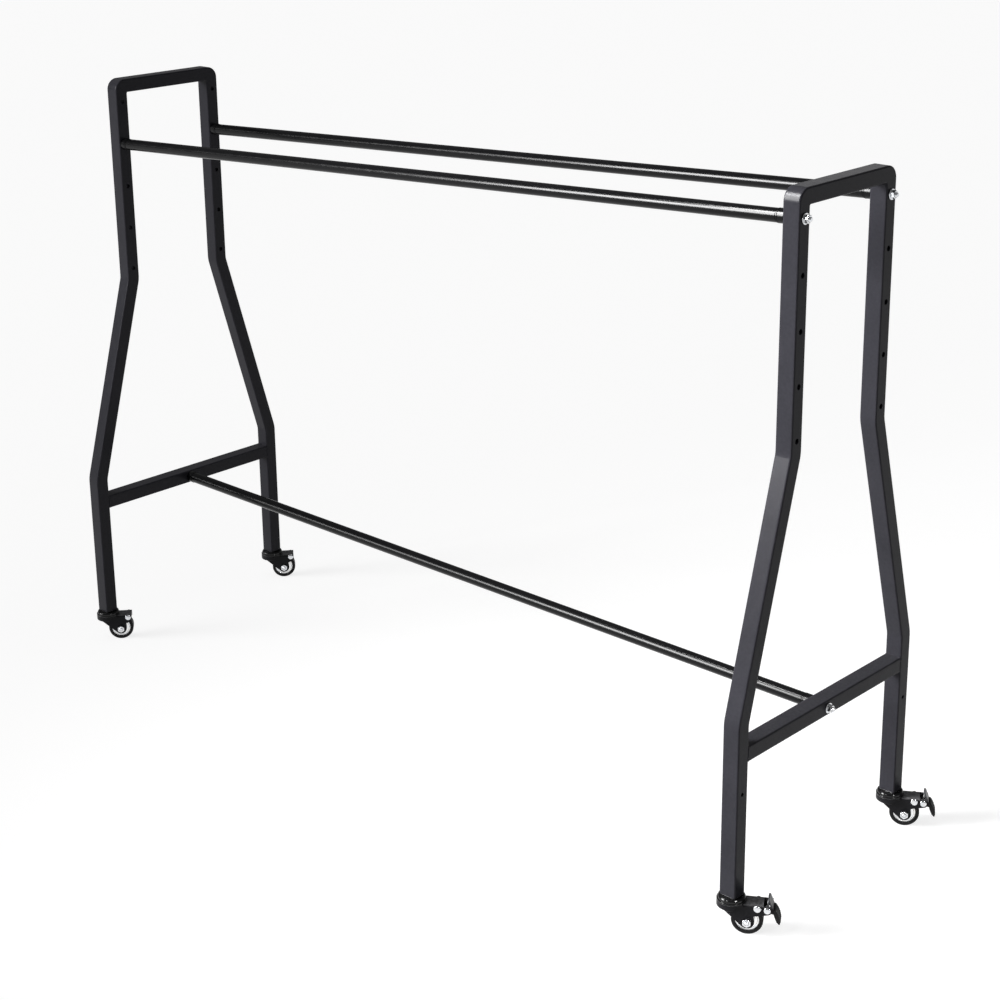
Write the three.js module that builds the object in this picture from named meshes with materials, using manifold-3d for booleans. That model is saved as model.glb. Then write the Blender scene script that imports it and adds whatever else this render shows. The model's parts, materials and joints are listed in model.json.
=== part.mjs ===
// A wheeled cart for training grounds: two bent end frames joined by three rails, on four swivel casters.
// Lengths are in mm and Z is up. X runs along the cart, the near side is at -Y and the floor is at zero.
// The two upper rails are bolted one hole lower on the left frame, so they slope.
// Only the casters of the right frame have brakes.
import * as THREE from "three";
import { mergeVertices, toCreasedNormals } from "three/addons/utils/BufferGeometryUtils.js";
import Module from "manifold-3d";

const wasm = await Module();
wasm.setup();

// End frames
const overallHeight = 965;
const frameSpacing = 1350;
const tubeDepth = 25;
const tubeFace = 22;
const tubeWall = 1.5;
const tubeCorner = 2.2;
const upperLegSpacing = 187;
const lowerLegSpacing = 372;
const upperLegLength = 336;
const lowerBendHeight = 295;
const legBendRadius = 40;
const topCornerOuterRadius = 18;
const topCornerInnerRadius = 2;
const legBottomHeight = 54;
const crossTubeHeight = 252;

// Holes in the end frames
const boltHoleDiameter = 7;
const topHoleDrop = 37;
const holePitch = 70;
const spareHoleDiameter = 5;
const spareHoleHeight = 199.5;

// Rails and the fittings at their ends
const railDiameter = 18;
const railWall = 1.5;
const collarDiameter = 19;
const collarLength = 12;
const spigotLength = 10;
const studDiameter = 6;
const studProud = 3;
const washerDiameter = 14.5;
const washerThickness = 1.6;
const railNutAcrossFlats = 10;
const railNutThickness = 5;

// Wheels
const wheelDiameter = 42;
const casterTrail = 21;
const tyreWidth = 18;
const tyreShoulder = 1.6;
const tyreWallDepth = 5.2;
const tyreBeadStep = 0.8;
const hubDiscWidth = 14;
const hubCoreDiameter = 12;
const hubCoreWidth = 21;
const axleDiameter = 6;
const axleHexAcrossFlats = 10.5;
const axleHeadThickness = 4;
const axleNutThickness = 4.4;
const axleProud = 0.9;

// Swivel heads
const stemDiameter = 10;
const stemInsertion = 21;
const stemPointChamfer = 1;
const stemHeadDiameter = 14;
const stemHeadThickness = 3;
const headDiameter = 39.4;
const domeLipHeight = 1.5;
const domeShoulderDiameter = 37.2;
const domeShoulderHeight = 3.1;
const domeWaistDiameter = 34.8;
const domeWaistHeight = 5.6;
const domeTopDiameter = 33.4;
const raceDiameter = 28;
const raceSection = 2.6;
const raceLift = 0.4;

// Plastic inserts in the leg ends
const plugFlange = 1.2;
const plugDepth = 26;
const plugCorner = 1;

// Forks
const forkPlate = 2;
const forkWidth = 26;
const forkTopHeight = 45;
const forkBend = 3;
const forkNoseReach = 14.8;
const forkNoseHeight = 40.6;
const forkEyeRadius = 9.7;
const forkNotchReach = 29.4;
const forkNotchHeight = 29.3;
const forkTailReach = 39.5;
const forkTailHeight = 35;
const forkTailLip = 7;
const skirtThickness = 2.2;
const skirtDepth = 7.5;
const skirtReach = 5;
const rivetDiameter = 4;
const rivetReach = 34;
const rivetHeight = 41;
const rivetHeadDiameter = 9.7;
const rivetHeadThickness = 2;

// Brakes on the right casters
const brakePinDiameter = 3;
const brakePinReach = 46.8;
const brakePinHeight = 39.7;
const brakePinHeadDiameter = 9;
const brakePinHeadThickness = 1.8;
const brakeBossRadius = 6.5;
const brakeForkTopReach = 41;
const pedalWidth = 21;
const pedalPlate = 2;
const pedalTopReach = 1.4;
const pedalTopRise = 13.8;
const pedalTongueRadius = 7.5;
const pedalKneeReach = 5.2;
const pedalKneeRise = 4.3;
const pedalTipReach = 13.2;
const pedalTipDrop = 17.7;
const pedalPadLength = 22;
const pedalPadThickness = 6;
const pedalPadOverrun = 4;
const pedalPadLift = 1.5;
const pedalCheekRadius = 4.2;
const pedalCheekDrop = 6.5;
const brakeShoeReach = 10.3;
const brakeShoeThickness = 3;
const brakeShoeInset = 5;

// Room between neighbouring pieces
const fitGap = 0.3;
const drillGap = 0.3;

// Shares, counts and angles
const stemHeadChamferShare = 0.25;
const hexChamferShare = 0.18;
const rivetCrownShare = 0.62;
const rivetRimShare = 0.35;
const holeCount = 5;
const rightRailHole = 1;
const leftRailHole = 2;
const leftCasterHeading = THREE.MathUtils.degToRad(50);
const rightCasterHeading = THREE.MathUtils.degToRad(32);
const brakeShoeAngle = THREE.MathUtils.degToRad(233.9);
const creaseAngle = THREE.MathUtils.degToRad(35);
const roundSteps = 20;
const fineSteps = 12;
const holeSteps = 8;
const stemSteps = 16;
const wheelSteps = 36;
const cornerSteps = 2;
const bendSteps = 3;
const topCornerSteps = 5;
const raceSides = 6;
const padSteps = 10;
const hexSides = 6;

// Sizes that follow from the ones above
const tubeHalf = tubeFace / 2;
const wheelRadius = wheelDiameter / 2;
const forkHalf = forkWidth / 2;
const forkInner = forkHalf - forkPlate;
const forkUnderTop = forkTopHeight - forkPlate;
const headRadius = headDiameter / 2;
const drillSpan = tubeDepth * 2;
const railEndInset = tubeDepth / 2 + fitGap + collarLength;
const upperBendHeight = overallHeight - upperLegLength;
const topHoleHeight = overallHeight - topHoleDrop;
const leftRailHeight = topHoleHeight - (leftRailHole - 1) * holePitch;
const rightRailHeight = topHoleHeight - (rightRailHole - 1) * holePitch;

const framePaint = { color: 0x3c3b42, roughness: 0.5, metalness: 0.25 };
const railPaint = { color: 0x1d1d20, roughness: 0.32, metalness: 0.3 };
const forkPaint = { color: 0x2f2e33, roughness: 0.45, metalness: 0.35 };
const zincPlate = { color: 0xd9dadc, roughness: 0.3, metalness: 0.9 };
const brightPlate = { color: 0xe6e7e9, roughness: 0.25, metalness: 0.85 };
const blackPlastic = { color: 0x17171a, roughness: 0.6, metalness: 0 };
const tyreRubber = { color: 0x121214, roughness: 0.75, metalness: 0 };

// A closed three.js geometry as a solid that can be joined and cut.
function solidOf(geometry) {
  const bare = geometry.clone();
  bare.deleteAttribute("normal");
  bare.deleteAttribute("uv");
  const merged = mergeVertices(bare);
  const corners = merged.index.array;
  const kept = [];
  for (let i = 0; i < corners.length; i += 3) {
    const [a, b, c] = corners.subarray(i, i + 3);
    if (a !== b && b !== c && c !== a) kept.push(a, b, c);
  }
  const vertProperties = merged.attributes.position.array;
  return new wasm.Manifold(new wasm.Mesh({ numProp: 3, vertProperties, triVerts: new Uint32Array(kept) }));
}

// A named mesh with its own finish.
function piece(name, solid, finish) {
  const skin = solid.getMesh();
  const geometry = new THREE.BufferGeometry();
  geometry.setAttribute("position", new THREE.BufferAttribute(new Float32Array(skin.vertProperties), 3));
  geometry.setIndex(new THREE.BufferAttribute(new Uint32Array(skin.triVerts), 1));
  const material = new THREE.MeshStandardMaterial(finish);
  const mesh = new THREE.Mesh(toCreasedNormals(geometry, creaseAngle), material);
  mesh.name = name;
  return mesh;
}

function groupOf(name, ...members) {
  const group = new THREE.Group();
  group.name = name;
  group.add(...members);
  return group;
}

function joined(...solids) {
  return solids.reduce((whole, next) => whole.add(next));
}

function cut(body, ...tools) {
  return tools.reduce((rest, tool) => rest.subtract(tool), body);
}

// A box given by its least and greatest corners.
function boxBetween(low, high) {
  const size = new THREE.Vector3().subVectors(high, low);
  const middle = new THREE.Vector3().addVectors(low, high).multiplyScalar(1 / 2);
  return solidOf(new THREE.BoxGeometry(size.x, size.y, size.z).translate(middle.x, middle.y, middle.z));
}

function point(x, y, z) {
  return new THREE.Vector3(x, y, z);
}

// Round bars along each axis, from one place on the axis to another.
function barAlongX(radius, from, to, steps) {
  const bar = new THREE.CylinderGeometry(radius, radius, to - from, steps);
  return bar.rotateZ(Math.PI / 2).translate((from + to) / 2, 0, 0);
}

function barAlongY(radius, from, to, steps) {
  return new THREE.CylinderGeometry(radius, radius, to - from, steps).translate(0, (from + to) / 2, 0);
}

function barAlongZ(radius, from, to, steps) {
  const bar = new THREE.CylinderGeometry(radius, radius, to - from, steps);
  return bar.rotateX(Math.PI / 2).translate(0, 0, (from + to) / 2);
}

// A turned body about the Y axis, from pairs of radius and place along the axis.
function turned(profile, steps) {
  return new THREE.LatheGeometry(profile.map(([r, along]) => new THREE.Vector2(r, along)), steps);
}

// The points of an arc that rounds one corner of an outline.
function cornerArc(before, corner, after) {
  if (!corner.radius) return [corner.at];
  const back = before.at.clone().sub(corner.at).normalize();
  const ahead = after.at.clone().sub(corner.at).normalize();
  const half = Math.acos(back.dot(ahead)) / 2;
  const bisector = back.clone().add(ahead).normalize();
  const centre = corner.at.clone().addScaledVector(bisector, corner.radius / Math.sin(half));
  const start = corner.at.clone().addScaledVector(back, corner.radius / Math.tan(half));
  const end = corner.at.clone().addScaledVector(ahead, corner.radius / Math.tan(half));
  return arcBetween(centre, start, end, corner.steps);
}

// The shorter arc about a centre from one point to another.
function arcBetween(centre, start, end, steps) {
  const from = start.clone().sub(centre);
  const to = end.clone().sub(centre);
  const sweep = Math.atan2(from.cross(to), from.dot(to));
  return sweptArc(centre, start, sweep, steps);
}

function sweptArc(centre, start, sweep, steps) {
  const points = [];
  for (let i = 0; i <= steps; i++) {
    points.push(start.clone().rotateAround(centre, (sweep * i) / steps));
  }
  return points;
}

// A corner of an outline, rounded when it has a radius.
function corner(x, y, radius = 0, steps = cornerSteps) {
  return { at: new THREE.Vector2(x, y), radius, steps };
}

function outlineOf(corners) {
  const last = corners.length - 1;
  const points = corners.flatMap((here, i) => {
    const before = corners[i === 0 ? last : i - 1];
    const after = corners[i === last ? 0 : i + 1];
    return cornerArc(before, here, after);
  });
  return new THREE.Shape(points);
}

function roundedRectangle(width, height, radius) {
  const halfWidth = width / 2;
  const halfHeight = height / 2;
  return outlineOf([
    corner(-halfWidth, -halfHeight, radius),
    corner(halfWidth, -halfHeight, radius),
    corner(halfWidth, halfHeight, radius),
    corner(-halfWidth, halfHeight, radius),
  ]);
}

// Where a straight edge from a point touches a circle; turn is +1 or -1 for the two sides.
function touchPoint(from, centre, radius, turn) {
  const away = from.clone().sub(centre);
  const angle = away.angle() + turn * Math.acos(radius / away.length());
  return new THREE.Vector2(Math.cos(angle), Math.sin(angle)).multiplyScalar(radius).add(centre);
}

function extruded(shape, depth) {
  return new THREE.ExtrudeGeometry(shape, { depth, bevelEnabled: false });
}

// Turns an outline drawn across the cart and up, extruded along the cart, into place.
const acrossAndUp = new THREE.Matrix4().makeBasis(point(0, 1, 0), point(0, 0, 1), point(1, 0, 0));
// The same for an outline drawn along the trail of a caster and up; it is extruded towards -Y.
const trailAndUp = new THREE.Matrix4().makeBasis(point(1, 0, 0), point(0, 0, 1), point(0, -1, 0));

// A plate of a caster, drawn from the side, between two places across it.
function sidePlate(shape, from, to) {
  return solidOf(extruded(shape, to - from).applyMatrix4(trailAndUp).translate(0, to, 0));
}

// A hexagon along Y with turned-down corners, from one place to another.
function hexagonAlongY(acrossFlats, from, to) {
  const cornerRadius = acrossFlats / 2 / Math.cos(Math.PI / hexSides);
  const drop = acrossFlats * hexChamferShare / 2;
  const hexagon = solidOf(barAlongY(cornerRadius, from, to, hexSides));
  const lathed = turned([
    [0, from],
    [cornerRadius - drop, from],
    [cornerRadius, from + drop],
    [cornerRadius, to - drop],
    [cornerRadius - drop, to],
    [0, to],
  ], fineSteps);
  return hexagon.intersect(solidOf(lathed));
}

// End frames

// One side of the outline of an end frame, from the leg end up.
// The offset is measured outwards from the middle of the tube.
function frameSide(side, offset, bottom, topRadius) {
  const splay = Math.atan2((lowerLegSpacing - upperLegSpacing) / 2, upperBendHeight - lowerBendHeight);
  const mitre = offset * Math.tan(splay / 2);
  const lower = side * (lowerLegSpacing / 2 + offset);
  const upper = side * (upperLegSpacing / 2 + offset);
  return [
    corner(lower, bottom),
    corner(lower, lowerBendHeight + mitre, legBendRadius + offset, bendSteps),
    corner(upper, upperBendHeight + mitre, legBendRadius - offset, bendSteps),
    corner(upper, overallHeight - tubeHalf + offset, topRadius, topCornerSteps),
  ];
}

function frameBand(halfFace, bottom, outerRadius, innerRadius) {
  return outlineOf([
    ...frameSide(1, halfFace, bottom, outerRadius),
    ...frameSide(-1, halfFace, bottom, outerRadius).reverse(),
    ...frameSide(-1, -halfFace, bottom, innerRadius),
    ...frameSide(1, -halfFace, bottom, innerRadius).reverse(),
  ]);
}

// The bent tube of an end frame, open at the leg ends, with a row of holes in each upper leg.
function frameTube(outward) {
  const skin = new THREE.ExtrudeGeometry(
    frameBand(tubeHalf, legBottomHeight, topCornerOuterRadius, topCornerInnerRadius),
    {
      depth: tubeDepth - 2 * tubeCorner,
      bevelThickness: tubeCorner,
      bevelSize: tubeCorner,
      bevelOffset: -tubeCorner,
      bevelSegments: cornerSteps,
    },
  ).translate(0, 0, tubeCorner - tubeDepth / 2);
  const bore = extruded(
    frameBand(
      tubeHalf - tubeWall,
      legBottomHeight - tubeWall,
      topCornerOuterRadius - tubeWall,
      topCornerInnerRadius + tubeWall,
    ),
    tubeDepth - 2 * tubeWall,
  ).translate(0, 0, tubeWall - tubeDepth / 2);
  const holes = [];
  for (const side of [-1, 1]) {
    for (let i = 0; i < holeCount; i++) {
      const drill = barAlongX(boltHoleDiameter / 2, -drillSpan / 2, drillSpan / 2, holeSteps);
      holes.push(solidOf(drill.translate(0, side * upperLegSpacing / 2, topHoleHeight - i * holePitch)));
    }
    const spare = outward > 0
      ? barAlongX(spareHoleDiameter / 2, 0, drillSpan / 2, holeSteps)
      : barAlongX(spareHoleDiameter / 2, -drillSpan / 2, 0, holeSteps);
    holes.push(solidOf(spare.translate(0, side * lowerLegSpacing / 2, spareHoleHeight)));
  }
  const tube = solidOf(skin.applyMatrix4(acrossAndUp)).subtract(solidOf(bore.applyMatrix4(acrossAndUp)));
  return cut(tube, ...holes);
}

// The level tube between the lower legs, with one hole through its middle.
function crossTube() {
  const length = lowerLegSpacing - tubeFace - 2 * fitGap;
  const section = roundedRectangle(tubeDepth, tubeFace, tubeCorner);
  section.holes.push(new THREE.Path(
    roundedRectangle(tubeDepth - 2 * tubeWall, tubeFace - 2 * tubeWall, 0).getPoints(),
  ));
  const tube = extruded(section, length).rotateX(Math.PI / 2).translate(0, length / 2, 0);
  const drill = barAlongX(boltHoleDiameter / 2, -drillSpan / 2, drillSpan / 2, holeSteps);
  return solidOf(tube).subtract(solidOf(drill));
}

// The insert in a leg end, with a flange under the tube and a bore for the stem.
function legPlug() {
  const flangeTop = legBottomHeight - fitGap;
  const flangeBottom = flangeTop - plugFlange;
  const bodyWidth = tubeDepth - 2 * tubeWall - 2 * fitGap;
  const bodyFace = tubeFace - 2 * tubeWall - 2 * fitGap;
  const flange = extruded(roundedRectangle(tubeDepth, tubeFace, tubeCorner), plugFlange);
  const body = extruded(roundedRectangle(bodyWidth, bodyFace, plugCorner), plugDepth + plugFlange);
  const boreEnds = [flangeBottom - plugDepth, flangeTop + 2 * plugDepth];
  const bore = barAlongZ(stemDiameter / 2 + fitGap, ...boreEnds, stemSteps);
  return cut(
    joined(
      solidOf(flange.translate(0, 0, flangeBottom)),
      solidOf(body.translate(0, 0, flangeBottom)),
    ),
    solidOf(bore),
  );
}

// Rails

// A straight round tube along X about its middle.
function railTube(length) {
  const outer = railDiameter / 2;
  const inner = outer - railWall;
  const tube = turned([
    [inner, -length / 2],
    [outer, -length / 2],
    [outer, length / 2],
    [inner, length / 2],
    [inner, -length / 2],
  ], roundSteps);
  return solidOf(tube.rotateZ(-Math.PI / 2));
}

// The fitting in a rail end: spigot and collar follow the rail, the stud runs level through the frame.
function railStud(climb) {
  const faceAt = tubeDepth / 2 + fitGap;
  const collarEnd = faceAt + collarLength;
  const collar = barAlongX(collarDiameter / 2, -collarEnd, 0, roundSteps).rotateY(climb);
  const spigotRadius = railDiameter / 2 - railWall - fitGap;
  const spigot = barAlongX(spigotRadius, -collarEnd - spigotLength, -faceAt, fineSteps).rotateY(climb);
  const trim = boxBetween(
    point(-faceAt, -collarDiameter, -collarDiameter),
    point(collarDiameter, collarDiameter, collarDiameter),
  );
  const studEnd = tubeDepth / 2 + fitGap + washerThickness + railNutThickness + studProud;
  const stud = barAlongX(studDiameter / 2, -collarEnd, studEnd, fineSteps);
  return joined(cut(joined(solidOf(collar), solidOf(spigot)), trim), solidOf(stud));
}

// A washer and a nut on a stud, outside the frame.
function railNut() {
  const from = tubeDepth / 2 + fitGap;
  const seam = from + washerThickness;
  const end = seam + railNutThickness;
  const washer = solidOf(barAlongY(washerDiameter / 2, from, seam, roundSteps));
  const nut = hexagonAlongY(railNutAcrossFlats, from, end);
  const bore = solidOf(barAlongY(studDiameter / 2 + fitGap, from - drillGap, end + drillGap, fineSteps));
  return cut(joined(washer, nut), bore);
}

// A rail with both end fittings. The left end sits at the first height and the right end at the second.
function rail(name, across, leftHeight, rightHeight) {
  const rise = rightHeight - leftHeight;
  const climb = Math.atan2(rise, frameSpacing);
  const length = Math.hypot(rise, frameSpacing) - 2 * (railEndInset + fitGap);
  const tube = piece(name, railTube(length), railPaint);
  tube.rotation.y = -climb;
  tube.position.set(0, 0, (leftHeight + rightHeight) / 2);
  const ends = [
    { label: "left", x: -frameSpacing / 2, height: leftHeight, turn: Math.PI, climb },
    { label: "right", x: frameSpacing / 2, height: rightHeight, turn: 0, climb: -climb },
  ].map((end) => {
    const nut = piece(`${name}_nut_${end.label}`, railNut(), zincPlate);
    nut.rotation.z = -Math.PI / 2;
    const fitting = groupOf("", piece(`${name}_stud_${end.label}`, railStud(end.climb), zincPlate), nut);
    fitting.position.set(end.x, 0, end.height);
    fitting.rotation.z = end.turn;
    return fitting;
  });
  const whole = groupOf("", tube, ...ends);
  whole.position.y = across;
  return whole;
}

// Casters: X is the trail, Y runs along the axle and the swivel axis is at X = Y = 0

// The stem and the domed upper race, turned as one.
function casterStem() {
  const raceFloor = forkTopHeight + raceLift;
  const raceInner = (raceDiameter - raceSection) / 2 - raceLift;
  const raceOuter = (raceDiameter + raceSection) / 2 + raceLift;
  const raceRoof = raceFloor + raceSection + raceLift;
  const domeTop = legBottomHeight - fitGap - plugFlange - fitGap;
  const stemRadius = stemDiameter / 2;
  const headTop = forkUnderTop - fitGap;
  const headBottom = headTop - stemHeadThickness;
  const headChamfer = stemHeadThickness * stemHeadChamferShare;
  const stemTop = domeTop + stemInsertion;
  const profile = [
    [0, headBottom],
    [stemHeadDiameter / 2 - headChamfer, headBottom],
    [stemHeadDiameter / 2, headBottom + headChamfer],
    [stemHeadDiameter / 2, headTop],
    [stemRadius, headTop],
    [stemRadius, raceFloor],
    [raceInner, raceFloor],
    [raceInner, raceRoof],
    [raceOuter, raceRoof],
    [raceOuter, raceFloor],
    [headRadius, raceFloor],
    [headRadius, raceFloor + domeLipHeight],
    [domeShoulderDiameter / 2, raceFloor + domeShoulderHeight],
    [domeWaistDiameter / 2, raceFloor + domeWaistHeight],
    [domeTopDiameter / 2, domeTop],
    [stemRadius, domeTop],
    [stemRadius, stemTop - stemPointChamfer],
    [stemRadius - stemPointChamfer, stemTop],
    [0, stemTop],
  ];
  return solidOf(turned(profile, stemSteps).rotateX(Math.PI / 2));
}

// The ring that stands for the balls between the two races.
function bearingRing() {
  const ring = new THREE.TorusGeometry(raceDiameter / 2, raceSection / 2, raceSides, stemSteps);
  return solidOf(ring.translate(0, 0, forkTopHeight + raceLift + raceSection / 2));
}

// The side view of a fork, with a round eye at the axle. With a brake it has a boss at the pedal pin.
function forkOutline(braked) {
  const axle = new THREE.Vector2(casterTrail, wheelRadius);
  const pin = new THREE.Vector2(brakePinReach, brakePinHeight);
  const nose = new THREE.Vector2(-forkNoseReach, forkNoseHeight);
  const notch = new THREE.Vector2(forkNotchReach, forkNotchHeight);
  const eyeStart = touchPoint(nose, axle, forkEyeRadius, 1);
  const eyeEnd = touchPoint(notch, axle, forkEyeRadius, -1);
  const sweepFrom = eyeStart.clone().sub(axle).angle();
  const sweepTo = eyeEnd.clone().sub(axle).angle();
  const sweep = sweepTo > sweepFrom ? sweepTo - sweepFrom : sweepTo - sweepFrom + 2 * Math.PI;
  const bossStart = touchPoint(notch, pin, brakeBossRadius, 1);
  const bossEnd = new THREE.Vector2(pin.x + brakeBossRadius, pin.y);
  const tail = braked
    ? [
        ...arcBetween(pin, bossStart, bossEnd, bendSteps),
        new THREE.Vector2(bossEnd.x, forkTopHeight),
      ]
    : [
        new THREE.Vector2(forkTailReach, forkTailHeight),
        new THREE.Vector2(forkTailReach, forkTopHeight),
      ];
  return new THREE.Shape([
    new THREE.Vector2(-forkNoseReach, forkTopHeight),
    nose,
    ...sweptArc(axle, eyeStart, sweep, fineSteps / 2),
    notch,
    ...tail,
  ]);
}

// The pressed fork: a channel seen from the end, cut to the side view, under a round head with a skirt.
function fork(braked) {
  const reach = (braked ? brakePinReach + brakeBossRadius : forkTailReach) + drillGap;
  const channel = outlineOf([
    corner(-forkHalf, 0),
    corner(-forkHalf, forkTopHeight, forkBend),
    corner(forkHalf, forkTopHeight, forkBend),
    corner(forkHalf, 0),
    corner(forkInner, 0),
    corner(forkInner, forkUnderTop, forkBend - forkPlate),
    corner(-forkInner, forkUnderTop, forkBend - forkPlate),
    corner(-forkInner, 0),
  ]);
  const blank = extruded(channel, reach + headRadius).translate(0, 0, -headRadius);
  const sides = solidOf(blank.applyMatrix4(acrossAndUp))
    .intersect(sidePlate(forkOutline(braked), -forkWidth, forkWidth));
  const skirtBottom = forkTopHeight - skirtDepth;
  const head = cut(
    solidOf(barAlongZ(headRadius, skirtBottom, forkTopHeight, roundSteps)),
    solidOf(barAlongZ(headRadius - skirtThickness, skirtBottom - skirtDepth, forkUnderTop, roundSteps)),
    boxBetween(
      point(skirtReach, -headDiameter, skirtBottom - skirtDepth),
      point(headDiameter, headDiameter, forkUnderTop),
    ),
  );
  const through = forkHalf + drillGap;
  const drills = [
    barAlongZ(stemDiameter / 2 + fitGap, forkUnderTop - forkPlate, forkTopHeight + forkPlate, roundSteps),
    barAlongY(axleDiameter / 2 + fitGap, -through, through, fineSteps)
      .translate(casterTrail, 0, wheelRadius),
    barAlongY(rivetDiameter / 2 + fitGap, -through, through, holeSteps)
      .translate(rivetReach, 0, rivetHeight),
  ];
  if (!braked) {
    const lip = boxBetween(
      point(forkTailReach - forkPlate, -forkInner - forkPlate / 2, forkTopHeight - forkTailLip),
      point(forkTailReach, forkInner + forkPlate / 2, forkUnderTop + forkPlate / 2),
    );
    return cut(joined(sides, head, lip), ...drills.map(solidOf));
  }
  const pinDrill = barAlongY(brakePinDiameter / 2 + fitGap, -through, through, holeSteps);
  drills.push(pinDrill.translate(brakePinReach, 0, brakePinHeight));
  const pedalRoom = boxBetween(
    point(brakeForkTopReach, -forkInner, forkUnderTop - skirtDepth),
    point(reach + forkPlate, forkInner, forkTopHeight + forkPlate),
  );
  return cut(joined(sides, head), pedalRoom, ...drills.map(solidOf));
}

// A pin across the fork with a domed head on each side.
function crossPin(diameter, headWidth, headThickness) {
  const face = forkHalf + fitGap;
  const end = face + headThickness;
  const radius = diameter / 2;
  const rim = headWidth / 2;
  const profile = [
    [0, -end],
    [rim * rivetCrownShare, -end],
    [rim, -face - headThickness * rivetRimShare],
    [rim, -face],
    [radius, -face],
    [radius, face],
    [rim, face],
    [rim, face + headThickness * rivetRimShare],
    [rim * rivetCrownShare, end],
    [0, end],
  ];
  return solidOf(turned(profile, fineSteps));
}

// The axle bolt, with its head on the far side of the fork and its end through the nut.
function axleBolt() {
  const face = forkHalf + fitGap;
  const shankEnd = -face - axleNutThickness - axleProud;
  const shank = barAlongY(axleDiameter / 2, shankEnd, face + fitGap, fineSteps);
  return joined(hexagonAlongY(axleHexAcrossFlats, face, face + axleHeadThickness), solidOf(shank));
}

function axleNut() {
  const near = -forkHalf - fitGap;
  const end = near - axleNutThickness;
  const bore = barAlongY(axleDiameter / 2 + fitGap, end - drillGap, near + drillGap, fineSteps);
  return cut(hexagonAlongY(axleHexAcrossFlats, end, near), solidOf(bore));
}

function tyre() {
  const inner = wheelRadius - tyreWallDepth;
  const half = tyreWidth / 2;
  return solidOf(turned([
    [inner, -half + tyreBeadStep],
    [inner + tyreBeadStep, -half],
    [wheelRadius - tyreShoulder, -half],
    [wheelRadius, -half + tyreShoulder],
    [wheelRadius, half - tyreShoulder],
    [wheelRadius - tyreShoulder, half],
    [inner + tyreBeadStep, half],
    [inner, half - tyreBeadStep],
    [inner, -half + tyreBeadStep],
  ], wheelSteps));
}

// The bright wheel disc with its raised core and bore.
function hub() {
  const rim = wheelRadius - tyreWallDepth - fitGap;
  const bore = axleDiameter / 2 + fitGap;
  const disc = hubDiscWidth / 2;
  const core = hubCoreWidth / 2;
  return solidOf(turned([
    [bore, -core],
    [hubCoreDiameter / 2, -core],
    [hubCoreDiameter / 2, -disc],
    [rim, -disc],
    [rim, disc],
    [hubCoreDiameter / 2, disc],
    [hubCoreDiameter / 2, core],
    [bore, core],
    [bore, -core],
  ], roundSteps));
}

// The side view of the pedal plate, a thin bent band measured from the pin.
function pedalBand() {
  const top = new THREE.Vector2(pedalTopReach, pedalTopRise);
  const knee = new THREE.Vector2(pedalKneeReach, pedalKneeRise);
  const tip = new THREE.Vector2(pedalTipReach, -pedalTipDrop);
  const upper = knee.clone().sub(top).normalize();
  const lower = tip.clone().sub(knee).normalize();
  const half = pedalPlate / 2;
  const sideOf = (direction) => new THREE.Vector2(-direction.y, direction.x).multiplyScalar(half);
  const kneeNormal = sideOf(upper.clone().add(lower).normalize());
  const outer = [
    top.clone().add(sideOf(upper)),
    knee.clone().add(kneeNormal),
    tip.clone().add(sideOf(lower)),
  ];
  const inner = [
    tip.clone().sub(sideOf(lower)),
    knee.clone().sub(kneeNormal),
    top.clone().sub(sideOf(upper)),
  ];
  return new THREE.Shape([...outer, ...inner]);
}

// The thick rounded foot pad around the pedal's lower end.
function pedalPad() {
  const knee = new THREE.Vector2(pedalKneeReach, pedalKneeRise);
  const tip = new THREE.Vector2(pedalTipReach, -pedalTipDrop);
  const down = tip.clone().sub(knee).normalize();
  const outward = new THREE.Vector2(-down.y, down.x);
  const middle = tip.clone()
    .addScaledVector(down, pedalPadOverrun - pedalPadLength / 2)
    .addScaledVector(outward, pedalPadLift);
  const points = [];
  for (let i = 0; i < padSteps; i++) {
    const angle = (2 * Math.PI * i) / padSteps;
    points.push(
      middle.clone()
        .addScaledVector(down, (Math.cos(angle) * pedalPadLength) / 2)
        .addScaledVector(outward, (Math.sin(angle) * pedalPadThickness) / 2),
    );
  }
  return new THREE.Shape(points);
}

// The end view of the pedal, rounded at the top like a tongue.
function pedalTongue(depth) {
  const half = pedalWidth / 2;
  const top = pedalTopRise + pedalPlate;
  return outlineOf([
    corner(-half, -depth),
    corner(half, -depth),
    corner(half, top, pedalTongueRadius, bendSteps),
    corner(-half, top, pedalTongueRadius, bendSteps),
  ]);
}

// The side view of a pedal cheek, round about the pin and reaching the plate.
function pedalCheek() {
  const pin = new THREE.Vector2(0, 0);
  const knee = new THREE.Vector2(pedalKneeReach, pedalKneeRise);
  const tip = new THREE.Vector2(pedalTipReach, -pedalTipDrop);
  const foot = knee.clone().lerp(tip, (pedalKneeRise + pedalCheekDrop) / (pedalKneeRise + pedalTipDrop));
  const start = touchPoint(knee, pin, pedalCheekRadius, 1);
  const end = touchPoint(foot, pin, pedalCheekRadius, -1);
  const turn = end.angle() - start.angle();
  const sweep = turn > 0 ? turn : turn + 2 * Math.PI;
  return new THREE.Shape([knee, ...sweptArc(pin, start, sweep, fineSteps / 2), foot]);
}

// The arm of the brake shoe, between two distances from the pin.
function shoeArm(from, to) {
  const along = new THREE.Vector2(Math.cos(brakeShoeAngle), Math.sin(brakeShoeAngle));
  const aside = new THREE.Vector2(-along.y, along.x).multiplyScalar(brakeShoeThickness / 2);
  const near = along.clone().multiplyScalar(from);
  const far = along.clone().multiplyScalar(to);
  return new THREE.Shape([
    near.clone().sub(aside),
    far.clone().sub(aside),
    far.clone().add(aside),
    near.clone().add(aside),
  ]);
}

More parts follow.
